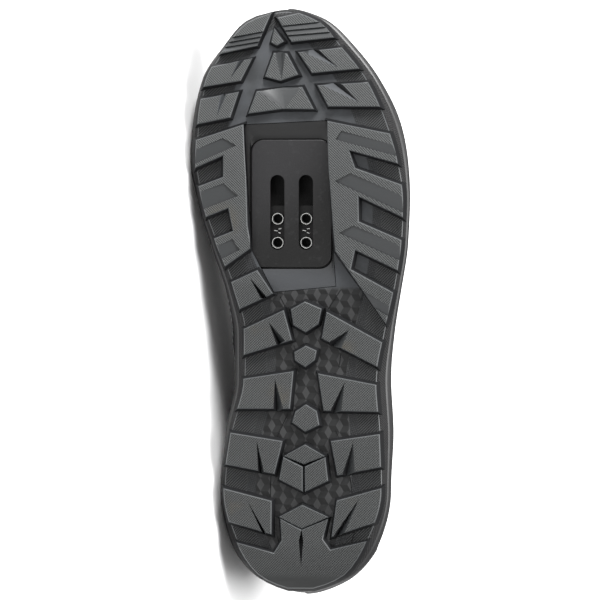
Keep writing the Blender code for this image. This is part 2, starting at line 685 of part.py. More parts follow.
def make_insole(finish):
    """A sock on the midsole: narrow where it fills the upper's turned-in edge, wider over it, rim raised."""
    over_margin = WALL + GAP
    inner = SEAM_INSET + MARGIN + INSOLE_PLAY
    rim = SEAM_INSET + WALL + INSOLE_PLAY
    loops = []
    for inwards, height in (
        (inner, 0.0),
        (inner, over_margin),
        (rim, over_margin),
        (rim, INSOLE_THICKNESS + INSOLE_RIM),
        (rim + 2 * INSOLE_THICKNESS, INSOLE_THICKNESS),
    ):
        loop = []
        for k in range(AROUND * SIDE_STEPS):
            column = k / SIDE_STEPS
            (x, y), _ = outline(column, flare(column) - inwards)
            loop.append((x, y, seat(y) + height))
        loops.append(loop)
    bm = bmesh.new()
    stack(bm, loops)
    return add_object("insole", bm, finish)


def make_tongue(finish):
    """A padded tongue under the throat, from the vamp up past the collar."""
    across = [0.86, 0.93, 1.0, *np.linspace(1, 2, 9)[1:], 2.07, 2.14]
    bm = bmesh.new()
    sheet(bm, over_throat, columns_between(5.3, VAMP_POINT - 0.3), across, -WALL - CURVED_GAP)
    tongue = add_object("tongue", bm, finish)
    thicken(tongue, TONGUE_THICKNESS)
    return tongue


def make_strap(name, row, finish):
    """A hook-and-loop strap, sewn on the medial side and carried over the tongue to the lateral side."""
    half = STRAP_WIDTH / 2 / (SHOE_LENGTH * ROW_PITCH)
    shared = np.linspace(0, 1, 9)
    up = [STRAP_FROM, *shared[shared > STRAP_FROM + 0.03]]
    down = [3 - height for height in shared[shared > STRAP_TO + 0.03][::-1]]
    across = [*up, *np.linspace(1, 2, 9)[1:-1], *down, 3 - STRAP_TO]
    bm = bmesh.new()
    sheet(bm, over_throat, columns_between(row - half, row + half), across, CURVED_GAP)
    strap = add_object("strap_" + name, bm, finish)
    thicken(strap, STRAP_THICKNESS, outwards=True)
    return strap


def make_overlay(name, start, end, low, high, finish):
    """A moulded piece on the upper, cut from the upper's own surface."""
    shared = np.linspace(0, 1, 9)
    heights = [low, *shared[(shared > low + 0.03) & (shared < high - 0.03)], high]
    bm = bmesh.new()
    sheet(bm, wall_point, columns_between(start, end), heights, CURVED_GAP, (0.0, 1.0))
    overlay = add_object(name, bm, finish)
    thicken(overlay, OVERLAY, outwards=True)
    return overlay


def solid_points(obj):
    """The corner points of the object's finished faces as triangles, in the shoe's frame."""
    evaluated = obj.evaluated_get(bpy.context.evaluated_depsgraph_get())
    mesh = evaluated.to_mesh()
    mesh.calc_loop_triangles()
    points = np.array([evaluated.matrix_world @ vert.co for vert in mesh.vertices])
    triangles = points[np.array([triangle.vertices[:] for triangle in mesh.loop_triangles])]
    evaluated.to_mesh_clear()
    return triangles


def centre_of_mass(pieces):
    total = 0.0
    moment = np.zeros(3)
    for obj, triangles in pieces.items():
        volumes = np.linalg.det(triangles) / 6 * obj.data.materials[0]["density"]
        total += volumes.sum()
        moment += (volumes[:, None] * triangles.sum(axis=1) / 4).sum(axis=0)
    return moment / total


def rests_on(face, centre):
    """Whether a body with this centre of mass stays put when it stands on the face."""
    foot = centre - face.normal * (centre - face.verts[0].co).dot(face.normal)
    corners = [vert.co for vert in face.verts]
    edges = zip(corners, corners[1:] + corners[:1])
    return all((b - a).cross(foot - a).dot(face.normal) >= 0 for a, b in edges)


def lying_turn(pieces):
    """The rotation that lays the shoe on its medial side, on the stable flat that leans most on the upper."""
    centre = Vector(centre_of_mass(pieces))
    hull = bmesh.new()
    for point in np.concatenate([triangles.reshape(-1, 3) for triangles in pieces.values()]):
        hull.verts.new(point)
    bmesh.ops.remove_doubles(hull, verts=hull.verts, dist=1e-6)
    bmesh.ops.convex_hull(hull, input=hull.verts)
    bmesh.ops.recalc_face_normals(hull, faces=hull.faces)
    flats = [face for face in hull.faces if face.normal.x > 0.8 and rests_on(face, centre)]
    down = max(flats, key=lambda face: face.normal.z).normal.normalized()
    hull.free()
    toe = (Vector((0, 1, 0)) - down * down.y).normalized()
    return Matrix((-toe, down.cross(toe), -down)).to_4x4()


def lay_down(pieces, empty):
    """Turns the empty that carries the shoe, and sets the shoe's box on the origin."""
    solids = {obj: solid_points(obj) for obj in pieces}
    turn = lying_turn(solids)
    points = np.concatenate([triangles.reshape(-1, 3) for triangles in solids.values()])
    points = points @ np.array(turn.to_3x3()).T
    low, high = points.min(axis=0), points.max(axis=0)
    shift = Matrix.Translation((-(low[0] + high[0]) / 2, -(low[1] + high[1]) / 2, -low[2]))
    empty.matrix_world = shift @ turn


clear_scene()
SHOE = new_collection("cycling_shoe")
TOOLS = new_collection("cutters", hidden=True)
shoe_frame = bpy.data.objects.new("shoe_frame", None)
SHOE.objects.link(shoe_frame)

rubber = material("rubber_tread", (0.085, 0.09, 0.093), 0.62)
foam = material("foam_midsole", (0.075, 0.072, 0.07), 0.7)
nylon = material("plastic_nylon", (0.06, 0.06, 0.064), 0.45)
moulded = material("plastic_overlay", (0.03, 0.03, 0.033), 0.5)
steel = material("steel_nut", (0.42, 0.42, 0.43), 0.35, 1.0)
leather = material("leather_upper", (0.022, 0.024, 0.034), 0.7)
webbing = material("textile_strap", (0.03, 0.03, 0.034), 0.75)
lining = material("textile_lining", (0.04, 0.04, 0.042), 0.9)

shoe_pieces = [
    make_outsole(rubber),
    make_midsole(foam),
    make_cleat_plate(nylon),
    make_cleat_nut(steel),
    make_upper(leather),
    make_insole(lining),
    make_tongue(lining),
]
shoe_pieces += [make_overlay(name, *place, moulded) for name, place in OVERLAYS.items()]
shoe_pieces += [make_strap(name, row, webbing) for name, row in STRAPS.items()]

bpy.context.view_layer.update()
tools = [obj for obj in bpy.data.objects if obj.hide_render]
lay_down(shoe_pieces, shoe_frame)
for piece in shoe_pieces + tools:
    piece.parent = shoe_frame
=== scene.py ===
"""A left cycling shoe on its side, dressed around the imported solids: tread, midsole, cleat bed and upper."""

import json
import math

import bmesh
import bpy
import numpy as np
from mathutils import Matrix, Vector


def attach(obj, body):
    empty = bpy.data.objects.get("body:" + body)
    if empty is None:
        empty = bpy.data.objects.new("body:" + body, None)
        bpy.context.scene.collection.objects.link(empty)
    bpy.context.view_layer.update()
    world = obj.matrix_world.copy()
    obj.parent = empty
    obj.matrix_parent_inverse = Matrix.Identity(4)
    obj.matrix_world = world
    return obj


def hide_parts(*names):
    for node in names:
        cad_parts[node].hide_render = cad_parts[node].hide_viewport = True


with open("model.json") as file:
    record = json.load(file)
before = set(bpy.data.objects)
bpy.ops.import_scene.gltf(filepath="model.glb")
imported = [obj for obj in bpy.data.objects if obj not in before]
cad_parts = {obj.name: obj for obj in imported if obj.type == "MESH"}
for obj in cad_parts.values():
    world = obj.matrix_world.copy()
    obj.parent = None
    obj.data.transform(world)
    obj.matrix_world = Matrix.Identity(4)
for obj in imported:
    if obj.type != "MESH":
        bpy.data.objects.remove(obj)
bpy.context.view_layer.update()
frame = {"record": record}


# The shoe's own frame, as its pattern is drawn: X to the medial side, Y from heel to toe, Z up from the ground
# that the sole stands on. The record gives it: the nut slides towards the toe, and the cleat bed faces down.
record = frame["record"]
bed_mount = next(mount for mount in record["mounts"] if mount["name"] == "cleat_bed")
BED = (0.00484, 0.18839, 0.0067)
upwards = -Vector(bed_mount["axis"]).normalized()
toewards = Vector(record["behaviour"]["joints"][0]["axis"])
toewards = (toewards - upwards * toewards.dot(upwards)).normalized()
shoe_turn = Matrix((toewards.cross(upwards), toewards, upwards)).transposed().to_4x4()
SHOE = Matrix.Translation(Vector(bed_mount["pos_m"]) - shoe_turn @ Vector(BED)) @ shoe_turn


# The camera looks square at the sole with the toe at the top of the picture, and stands a little to the
# lateral side, so that the midsole's lateral wall shows. Its long lens keeps the sole free of perspective.
PICTURE = 600 * 0.000487
CAMERA_FAR = 3.0
CAMERA_LEAN = math.radians(6)
aim = SHOE @ Vector((0, 0.1414, 0))
to_shoe = shoe_turn @ Vector((math.sin(CAMERA_LEAN), 0, math.cos(CAMERA_LEAN)))
camera = bpy.data.objects.new("camera", bpy.data.cameras.new("camera"))
camera.data.sensor_width = 36
camera.data.lens = 36 * CAMERA_FAR / PICTURE
camera.data.clip_end = 20
picture_up = toewards
picture_right = to_shoe.cross(picture_up)
camera.matrix_world = Matrix.Translation(aim - to_shoe * CAMERA_FAR) @ Matrix(
    (picture_right, picture_up, -to_shoe)
).transposed().to_4x4()
bpy.context.scene.collection.objects.link(camera)
bpy.context.scene.camera = camera


class Value:
    """A shader value that takes part in Python expressions, each of which adds its Math node."""

    def __init__(self, tree, socket):
        self.tree = tree
        self.socket = socket

    def math(self, operation, *others):
        return self.tree.add("ShaderNodeMath", {"operation": operation}, [self, *others])[0]

    def __add__(self, other):
        return self.math("ADD", other)

    def __sub__(self, other):
        return self.math("SUBTRACT", other)

    def __mul__(self, other):
        return self.math("MULTIPLY", other)

    def __truediv__(self, other):
        return self.math("DIVIDE", other)

    def __rsub__(self, other):
        return self.tree.add("ShaderNodeMath", {"operation": "SUBTRACT"}, [other, self])[0]

    def __neg__(self):
        return self * -1.0

    def __lt__(self, other):
        return self.math("LESS_THAN", other)

    def __gt__(self, other):
        return self.math("GREATER_THAN", other)

    __radd__ = __add__
    __rmul__ = __mul__


class Finish:
    """A material with its Principled shader, and the one way in which this file adds nodes to it."""

    def __init__(self, name, color, roughness, metallic=0.0, **others):
        self.made = bpy.data.materials.new(name)
        self.made.use_nodes = True
        self.nodes = self.made.node_tree.nodes
        self.shader = self.nodes["Principled BSDF"]
        self.set("Base Color", (*color, 1))
        self.set("Roughness", roughness)
        self.set("Metallic", metallic)
        for socket, value in others.items():
            self.set(socket.replace("_", " "), value)

    def set(self, socket, value):
        target = self.shader.inputs[socket]
        if isinstance(value, Value):
            self.made.node_tree.links.new(value.socket, target)
        else:
            target.default_value = value

    def add(self, kind, settings=None, sockets=()):
        """A node of that type, with its settings first and then its sockets, by name or in order."""
        node = self.nodes.new(kind)
        for key, value in (settings or {}).items():
            if key == "stops":
                ramp = node.color_ramp
                while len(ramp.elements) < len(value):
                    ramp.elements.new(0.5)
                for element, (place, color) in zip(ramp.elements, value):
                    element.position = place
                    element.color = (*color, 1)
            else:
                setattr(node, key, value)
        pairs = sockets.items() if isinstance(sockets, dict) else enumerate(sockets)
        for key, value in pairs:
            if isinstance(value, Value):
                self.made.node_tree.links.new(value.socket, node.inputs[key])
            else:
                node.inputs[key].default_value = value
        return [Value(self, socket) for socket in node.outputs if socket.enabled]

    def place(self):
        """The three coordinates in the shoe's own frame, in millimetres."""
        sockets = {"Vector": self.add("ShaderNodeTexCoord")[3]}
        sockets |= {"Location": SHOE.to_translation(), "Rotation": SHOE.to_euler()}
        where = self.add("ShaderNodeMapping", {"vector_type": "TEXTURE"}, sockets)[0]
        x, y, z = self.add("ShaderNodeSeparateXYZ", None, [where])
        return x * 1000, y * 1000, z * 1000

    def noise(self, scale, detail=3.0, roughness=0.5):
        """Noise from 0 to 1, with about that many waves to the metre."""
        where = self.add("ShaderNodeTexCoord")[3]
        settings = {"Vector": where, "Scale": scale, "Detail": detail, "Roughness": roughness}
        return self.add("ShaderNodeTexNoise", None, settings)[0]

    def attribute(self, name):
        return self.add("ShaderNodeAttribute", {"attribute_name": name})[2]

    def wave(self, value, period):
        """A smooth ripple from 0 to 1, once in each period."""
        return (value * (2 * math.pi / period)).math("SINE") * 0.5 + 0.5

    def step(self, value, low, high):
        """0 below low, 1 above high, smooth between."""
        return self.add(
            "ShaderNodeMapRange", {"interpolation_type": "SMOOTHSTEP"}, [value, low, high, 0.0, 1.0]
        )[0]

    def mix(self, factor, first, second):
        """A mix of two colours."""
        sockets = {0: factor}
        for key, color in ((6, first), (7, second)):
            sockets[key] = color if isinstance(color, Value) else (*color, 1)
        return self.add("ShaderNodeMix", {"data_type": "RGBA"}, sockets)[0]

    def bump(self, height, depth):
        """Feeds the shader's normal from a height of 0 to 1 that stands for depth metres."""
        sockets = {"Strength": 1.0, "Distance": depth, "Height": height}
        self.set("Normal", self.add("ShaderNodeBump", None, sockets)[0])


# The outsole: one moulding of carbon rubber, stuck under the midsole. A thin base carries a comb of teeth
# beside the cleat bed and split lugs elsewhere, with knurled faces and dark, patterned valleys between them.
SHOE_LENGTH = 0.283
TREAD_WIDTH = 0.102
FLARE = 0.004
TOE_SPRING = 0.0205
ARCH_LIFT = 0.003
HEEL_BEVEL = 0.0065
LUG_HEIGHT = 0.0045
LUG_SETBACK = 0.0002
BASE_THICKNESS = 0.003
LUG_BEVEL = 0.0005
LUG_DRAFT = 0.0018
MEDIAL = 1
LATERAL = -1


def table(columns, rows):
    """Named columns of a short table."""
    return dict(zip(columns.split(), np.array(rows, float).T))


# along, then the two edges of the tread and the two flares of the midsole, and what lifts the tread
SOLE = table(
    "along medial lateral out_medial out_lateral spring arch bevel heel",
    [
        (0.000, 0.013, -0.013, 0.15, 0.30, 0.00, 0.00, 1.00, 1.00),
        (0.021, 0.367, 0.373, 0.50, 0.45, 0.00, 0.00, 0.55, 1.00),
        (0.082, 0.610, 0.630, 1.10, 1.15, 0.00, 0.00, 0.00, 1.00),
        (0.170, 0.735, 0.778, 0.70, 0.72, 0.00, 0.00, 0.00, 0.98),
        (0.270, 0.668, 0.762, 0.95, 1.25, 0.00, 0.00, 0.00, 0.92),
        (0.360, 0.547, 0.725, 1.45, 1.45, 0.00, 0.65, 0.00, 0.78),
        (0.440, 0.545, 0.795, 1.50, 0.95, 0.00, 1.00, 0.00, 0.60),
        (0.520, 0.645, 0.897, 1.25, 0.52, 0.00, 0.45, 0.00, 0.38),
        (0.600, 0.815, 0.970, 0.90, 0.45, 0.00, 0.00, 0.00, 0.15),
        (0.670, 0.945, 0.985, 0.70, 0.50, 0.00, 0.00, 0.00, 0.04),
        (0.740, 1.008, 0.930, 0.88, 1.00, 0.00, 0.00, 0.00, 0.00),
        (0.810, 0.991, 0.807, 0.78, 1.45, 0.13, 0.00, 0.00, 0.00),
        (0.878, 0.929, 0.626, 0.62, 1.20, 0.36, 0.00, 0.00, 0.00),
        (0.938, 0.745, 0.363, 0.40, 1.10, 0.64, 0.00, 0.00, 0.00),
        (0.981, 0.536, 0.140, 0.30, 0.55, 0.87, 0.00, 0.00, 0.00),
        (1.000, 0.185, -0.185, 0.15, 0.30, 1.00, 0.00, 0.00, 0.00),
    ],
)
TIP = len(SOLE["along"]) - 1
AROUND = 2 * TIP
ROWS = np.arange(TIP + 1)


def smooth(keys, values, at, start=0.0, end=0.0):
    """A curve through the rows that never overshoots them, with the slopes given at its two ends."""
    keys = np.asarray(keys, float)
    values = np.asarray(values, float)
    rise = np.diff(values) / np.diff(keys)
    same = rise[:-1] * rise[1:] > 0
    total = np.where(same, rise[:-1] + rise[1:], 1.0)
    inner = np.where(same, 2 * rise[:-1] * rise[1:] / total, 0.0)
    slope = np.concatenate([[start], inner, [end]])
    at = np.clip(at, keys[0], keys[-1])
    i = np.clip(np.searchsorted(keys, at, side="right") - 1, 0, len(keys) - 2)
    width = keys[i + 1] - keys[i]
    t = (at - keys[i]) / width
    first = values[i] * (1 + 2 * t) * (1 - t) ** 2 + slope[i] * width * t * (1 - t) ** 2
    return first + values[i + 1] * t**2 * (3 - 2 * t) + slope[i + 1] * width * t**2 * (t - 1)


def by_row(values, row, start=0.0, end=0.0):
    return smooth(ROWS, values, row, start, end)


def by_length(column, y):
    return smooth(SOLE["along"], SOLE[column], y / SHOE_LENGTH)


def ground(y):
    """Height of the tread over the ground that the sole stands on."""
    lift = ARCH_LIFT * by_length("arch", y) + HEEL_BEVEL * by_length("bevel", y)
    return TOE_SPRING * by_length("spring", y) + lift


def tread_root(y):
    return ground(y) + LUG_HEIGHT


def folded(column):
    """Whether columns that run round from the heel, medial side first, are medial, and their rows."""
    column = np.mod(column, AROUND)
    medial = column <= TIP
    return medial, np.where(medial, column, AROUND - column)


def tread_edge(row, medial):
    """The tread's edge on the medial side or the lateral one, across from the middle line."""
    edges = []
    for name, other, side in (("medial", "lateral", MEDIAL), ("lateral", "medial", LATERAL)):
        start = (SOLE[name][1] + SOLE[other][1]) / 2
        end = -(SOLE[name][-2] + SOLE[other][-2]) / 2
        edges.append(side * TREAD_WIDTH / 2 * by_row(SOLE[name], row, start, end))
    return np.where(medial, *edges)


def outline(column, out=0.0):
    """Points of the tread's outline, moved outwards along its normal, and the normals."""

    def place(at):
        medial, row = folded(at)
        return np.stack((tread_edge(row, medial), SHOE_LENGTH * by_row(SOLE["along"], row)), axis=-1)

    column = np.asarray(column, float)
    along = place(column + 0.05) - place(column - 0.05)
    along /= np.linalg.norm(along, axis=-1, keepdims=True)
    normal = np.stack((along[..., 1], -along[..., 0]), axis=-1)
    return place(column) + np.asarray(out)[..., None] * normal, normal


def flare(column):
    medial, row = folded(column)
    return FLARE * np.where(medial, by_row(SOLE["out_medial"], row), by_row(SOLE["out_lateral"], row))


fine_rows = np.linspace(0, TIP, 60 * TIP + 1)
fine_along = by_row(SOLE["along"], fine_rows)


def tread_place(along, across, setback=LUG_SETBACK):
    """Points of the tread from the share of its length and the place between its two edges, -1 to 1."""
    row = np.interp(along, fine_along, fine_rows)
    medial = tread_edge(row, True) - setback
    lateral = tread_edge(row, False) + setback
    return np.stack(((medial + lateral) / 2 + across * (medial - lateral) / 2, along * SHOE_LENGTH), axis=-1)


def add_piece(name, source, finishes, body="shoe", replaces=(), slot=None, sharp=35):
    """A new piece of the shoe from a bmesh, riding on a body in place of its solids."""
    mesh = bpy.data.meshes.new(name)
    source.to_mesh(mesh)
    source.free()
    mesh.transform(SHOE)
    made = bpy.data.objects.new(name, mesh)
    bpy.context.scene.collection.objects.link(made)
    for finish in finishes:
        mesh.materials.append(finish.made)
    mesh.shade_smooth()
    mesh.set_sharp_from_angle(angle=math.radians(sharp))
    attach(made, body)
    if replaces:
        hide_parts(*replaces)
    return made


# front_out front_in in_front back_in back_out in_back: where the two cross edges of a lug meet the tread's edge
# and the lug's inner end, as shares of the length, and that inner end, from 0 on the middle line to 1
SIDE_LUGS = {
    MEDIAL: [
        (0.996, 0.988, 0.58, 0.940, 0.926, 0.47),
        (0.902, 0.917, 0.48, 0.879, 0.869, 0.57),
        (0.846, 0.858, 0.58, 0.815, 0.804, 0.66),
        (0.530, 0.550, 0.65, 0.511, 0.485, 0.53),
        (0.449, 0.481, 0.42, 0.431, 0.406, 0.32),
        (0.363, 0.376, 0.26, 0.313, 0.313, 0.26),
        (0.270, 0.256, 0.30, 0.201, 0.217, 0.37),
        (0.174, 0.153, 0.40, 0.097, 0.118, 0.45),
    ],
    LATERAL: [
        (0.996, 0.988, -0.22, 0.947, 0.954, 0.17),
        (0.935, 0.927, 0.25, 0.892, 0.899, 0.36),
        (0.874, 0.869, 0.38, 0.834, 0.833, 0.44),
        (0.426, 0.478, 0.17, 0.434, 0.386, 0.13),
        (0.353, 0.372, 0.13, 0.310, 0.308, 0.24),
        (0.268, 0.256, 0.36, 0.199, 0.213, 0.45),
        (0.175, 0.154, 0.45, 0.093, 0.118, 0.46),
    ],
}
# the teeth beside the cleat bed in the same way, and the smooth scoop in each: its steep end, front to back
TEETH = {
    MEDIAL: [
        (0.775, 0.801, 0.52, 0.750, 0.729, 0.72, 0.779, 0.73, 0.766, 0.59),
        (0.695, 0.711, 0.74, 0.659, 0.644, 0.75, 0.701, 0.75, 0.679, 0.63),
        (0.605, 0.618, 0.77, 0.579, 0.559, 0.69, 0.605, 0.81, 0.586, 0.77),
    ],
    LATERAL: [
        (0.785, 0.807, 0.39, 0.758, 0.735, 0.54, 0.791, 0.51, 0.776, 0.43),
        (0.697, 0.726, 0.57, 0.679, 0.643, 0.56, 0.718, 0.52, 0.704, 0.35),
        (0.602, 0.634, 0.55, 0.587, 0.552, 0.50, 0.628, 0.50, 0.615, 0.34),
        (0.512, 0.552, 0.45, 0.512, 0.460, 0.30, 0.532, 0.42, 0.519, 0.38),
    ],
}
RAILS = {
    MEDIAL: [(0.801, 0.52), (0.713, 0.52), (0.629, 0.61), (0.590, 0.64)],
    LATERAL: [(0.807, 0.39), (0.732, 0.32), (0.628, 0.29), (0.584, 0.29)],
}
CENTRE_LUGS = [
    [(0.969, 0.20), (0.946, 0.21), (0.941, 0.11), (0.947, 0.00)],
    [(0.926, 0.15), (0.886, 0.25), (0.879, 0.07), (0.889, -0.16), (0.925, -0.05)],
    [(0.859, 0.36), (0.822, 0.45), (0.830, 0.08), (0.829, -0.26), (0.866, -0.18)],
    [(0.496, 0.12), (0.483, 0.31), (0.457, 0.29), (0.445, 0.12), (0.459, -0.05), (0.484, -0.09)],
    [(0.420, 0.10), (0.409, 0.25), (0.396, 0.23), (0.385, 0.08), (0.397, -0.05), (0.412, -0.06)],
    [(0.319, 0.03), (0.307, 0.16), (0.289, 0.18), (0.274, 0.00), (0.285, -0.18), (0.308, -0.13)],
    [(0.250, -0.01), (0.231, 0.25), (0.218, -0.01), (0.231, -0.27)],
    [(0.228, 0.26), (0.191, 0.29), (0.171, 0.00), (0.212, 0.01)],
    [(0.228, -0.28), (0.189, -0.32), (0.171, -0.04), (0.212, -0.03)],
    [(0.146, 0.00), (0.126, 0.30), (0.107, 0.00), (0.126, -0.35)],
]
# the V cuts that split the lugs, as places on the tread: one end of the mouth, its bottom, its other end, the
# apex, and the depth of the bottom in metres
V_CUTS = [
    ((0.913, 0.67), (0.913, 0.62), (0.914, 0.59), (0.882, 0.70), 0.0030),
    ((0.851, 0.79), (0.851, 0.75), (0.851, 0.72), (0.817, 0.80), 0.0030),
    ((0.507, 0.70), (0.507, 0.67), (0.508, 0.62), (0.537, 0.76), 0.0042),
    ((0.426, 0.54), (0.429, 0.51), (0.434, 0.44), (0.461, 0.64), 0.0042),
    ((0.314, 0.49), (0.313, 0.45), (0.313, 0.35), (0.364, 0.53), 0.0042),
    ((0.208, 0.58), (0.206, 0.55), (0.200, 0.49), (0.258, 0.64), 0.0042),
    ((0.106, 0.59), (0.103, 0.57), (0.095, 0.51), (0.155, 0.71), 0.0042),
    ((0.927, -0.34), (0.929, -0.53), (0.930, -0.61), (0.901, -0.73), 0.0028),
    ((0.869, -0.45), (0.871, -0.59), (0.871, -0.68), (0.840, -0.79), 0.0028),
    ((0.428, -0.25), (0.424, -0.31), (0.417, -0.43), (0.448, -0.50), 0.0042),
    ((0.309, -0.33), (0.309, -0.38), (0.309, -0.49), (0.358, -0.53), 0.0042),
    ((0.200, -0.51), (0.202, -0.56), (0.207, -0.67), (0.255, -0.65), 0.0042),
    ((0.094, -0.48), (0.097, -0.53), (0.106, -0.64), (0.158, -0.73), 0.0042),
    ((0.926, 0.13), (0.926, 0.04), (0.925, -0.03), (0.879, 0.05), 0.0026),
    ((0.859, 0.33), (0.863, 0.06), (0.866, -0.17), (0.829, 0.06), 0.0024),
]
HEEL_BLOCK = [
    (0.081, 1.00), (0.063, 0.46), (0.086, 0.29), (0.122, 0.29), (0.103, 0.00),
    (0.122, -0.35), (0.088, -0.32), (0.069, -0.48), (0.084, -1.00),
]
SPINDLE = [(0.105, 0.00), (0.085, 0.035), (0.040, 0.00), (0.085, -0.035)]
# the thin lines in the valleys, where one panel of the mould meets the next
PANEL_LINES = [
    ((0.506, 0.45), (0.481, 0.38)), ((0.422, 0.29), (0.378, 0.16)), ((0.304, 0.28), (0.259, 0.40)),
    ((0.197, 0.42), (0.160, 0.42)), ((0.092, 0.37), (0.066, 0.36)), ((0.517, -0.33), (0.481, -0.16)),
    ((0.407, -0.42), (0.383, -0.42)), ((0.274, -0.40), (0.258, -0.46)), ((0.193, -0.60), (0.161, -0.63)),
    ((0.104, -0.76), (0.082, -0.77)),
]
BED_WIDTH = 0.0408
BED_LENGTH = 0.0637
WINDOW = [(1.22, 1.14), (1.28, -0.87), (-0.03, -0.94), (-1.27, -1.08), (-1.36, 0.43), (-0.71, 0.96)]
window_corners = [(BED[0] + x * BED_WIDTH / 2, BED[1] + y * BED_LENGTH / 2) for y, x in WINDOW]
FACE, EDGE, WALL, VALLEY, CUT = range(5)


def moved(corners, distance):
    """A plan outline whose edges are all moved outwards by the distance."""
    corners = np.array(corners, float)
    turn = np.sum(corners[:, 0] * np.roll(corners[:, 1], -1) - corners[:, 1] * np.roll(corners[:, 0], -1))
    edge = np.roll(corners, -1, axis=0) - corners
    normal = np.stack((edge[:, 1], -edge[:, 0]), axis=1) * np.sign(turn)
    normal /= np.linalg.norm(normal, axis=1, keepdims=True)
    before = np.roll(normal, 1, axis=0)
    share = 1 + np.sum(before * normal, axis=1)
    return corners + distance * (before + normal) / np.maximum(share, 0.6)[:, None]


def stack(bm, rings, indices):
    """A closed body from like rings, first to last, with a material index for each band and the two ends.

    A long ring that isn't level is the sole's outline, and is closed by a ladder across the sole.
    """
    made = [[bm.verts.new(point) for point in ring] for ring in rings]
    faces = []
    for ring, index in ((made[0], indices[0]), (made[-1], indices[-1])):
        heights = [vert.co.z for vert in ring]
        count = len(ring)
        if max(heights) - min(heights) < 1e-7 or count < 100:
            faces.append(bm.faces.new(ring))
            faces[-1].material_index = index
            continue
        for i in range(count // 2):
            corners = [ring[i], ring[i + 1], ring[(count - i - 1) % count], ring[(count - i) % count]]
            faces.append(bm.faces.new(list(dict.fromkeys(corners))))
            faces[-1].material_index = index
    for upper, lower, index in zip(made, made[1:], indices[1:-1]):
        for i in range(len(upper)):
            j = (i + 1) % len(upper)
            faces.append(bm.faces.new((upper[i], lower[i], lower[j], upper[j])))
            faces[-1].material_index = index
    bmesh.ops.recalc_face_normals(bm, faces=faces)


def add_lug(bm, corners):
    """A drafted lug with a bevelled face, flat: its height is the depth below the tread's face."""
    rings = []
    steps = ((-0.4 * LUG_BEVEL, 0.0), (0.6 * LUG_BEVEL, LUG_BEVEL), (LUG_DRAFT, LUG_HEIGHT + 0.0008))
    for out, depth in steps:
        rings.append([(*point, depth) for point in moved(corners, out)])
    stack(bm, rings, (FACE, EDGE, WALL, WALL))


def add_v_cut(bm, start, bottom, end, apex, depth):
    """A cutter for a V groove, deepest at its mouth and run out at its apex. A side much the narrower keeps the
    wall finish, painted shade.
    """
    apex = np.array(apex)
    reach = 1.15
    start, bottom, end = (apex + reach * (np.array(point) - apex) for point in (start, bottom, end))
    corners = {
        "start": (*start, 0.0), "bottom": (*bottom, reach * depth), "end": (*end, 0.0), "apex": (*apex, 0.0),
    }
    corners |= {name + "_up": (*corners[name][:2], -0.002) for name in ("start", "end", "apex")}
    verts = {name: bm.verts.new(point) for name, point in corners.items()}
    faces = [
        ("start", "bottom", "apex"),
        ("bottom", "end", "apex"),
        ("start_up", "end_up", "apex_up"),
        ("start", "apex", "apex_up", "start_up"),
        ("end", "end_up", "apex_up", "apex"),
        ("start", "start_up", "end_up", "end", "bottom"),
    ]
    made = [bm.faces.new([verts[name] for name in face]) for face in faces]
    widths = np.linalg.norm(bottom - start), np.linalg.norm(end - bottom)
    for face in made:
        face.material_index = WALL
    for face, width in zip(made, widths):
        if width > 0.7 * max(widths):
            face.material_index = CUT
    bmesh.ops.recalc_face_normals(bm, faces=made)


def add_cut(bm, corners, depths, index=CUT):
    """A cutter over plan corners, down to a depth at each."""
    rings = [[(x, y, z) for (x, y), z in zip(corners, depths)], [(x, y, -0.002) for x, y in corners]]
    stack(bm, rings, (index,) * 3)


def add_bar(bm, start, end, half, low, high, indices):
    """A thin upright bar or cutter along a line in plan."""
    across = np.array((start[1] - end[1], end[0] - start[0])) / np.linalg.norm(end - start) * half
    corners = [start + across, start - across, end - across, end + across]
    stack(bm, [[(*point, z) for point in corners] for z in (low, high)], indices)


def side_line(side, start, end, steps=9):
    """Points along the tread's edge between two shares of its length, without the two ends."""
    return [tread_place(along, side) for along in np.linspace(start, end, steps)[1:-1]]


def drape(bm, height, step=0.008):
    """Bends what was made flat to the sole's curve along the foot."""
    for y in np.arange(step / 2, SHOE_LENGTH, step):
        geometry = bm.verts[:] + bm.edges[:] + bm.faces[:]
        bmesh.ops.bisect_plane(bm, geom=geometry, dist=1e-6, plane_co=(0, y, 0), plane_no=(0, 1, 0))
    for vert in bm.verts:
        vert.co.z += float(height(vert.co.y))


def tool(bm, finishes=()):
    """A passing object for a Boolean."""
    mesh = bpy.data.meshes.new("tool")
    bm.to_mesh(mesh)
    bm.free()
    for finish in finishes:
        mesh.materials.append(finish.made)
    made = bpy.data.objects.new("tool", mesh)
    bpy.context.scene.collection.objects.link(made)
    return made


def carve(target, steps):
    """The bmesh of the target after its Booleans, given as tools and operations."""
    for other, operation in steps:
        boolean = target.modifiers.new("cut", "BOOLEAN")
        boolean.object = other
        boolean.operation = operation
        boolean.solver = "EXACT"
        boolean.use_self = operation == "UNION"
    bm = bmesh.new()
    bm.from_object(target, bpy.context.evaluated_depsgraph_get())
    for obj in [target, *(other for other, _ in steps)]:
        mesh = obj.data
        bpy.data.objects.remove(obj)
        bpy.data.meshes.remove(mesh)
    return bm


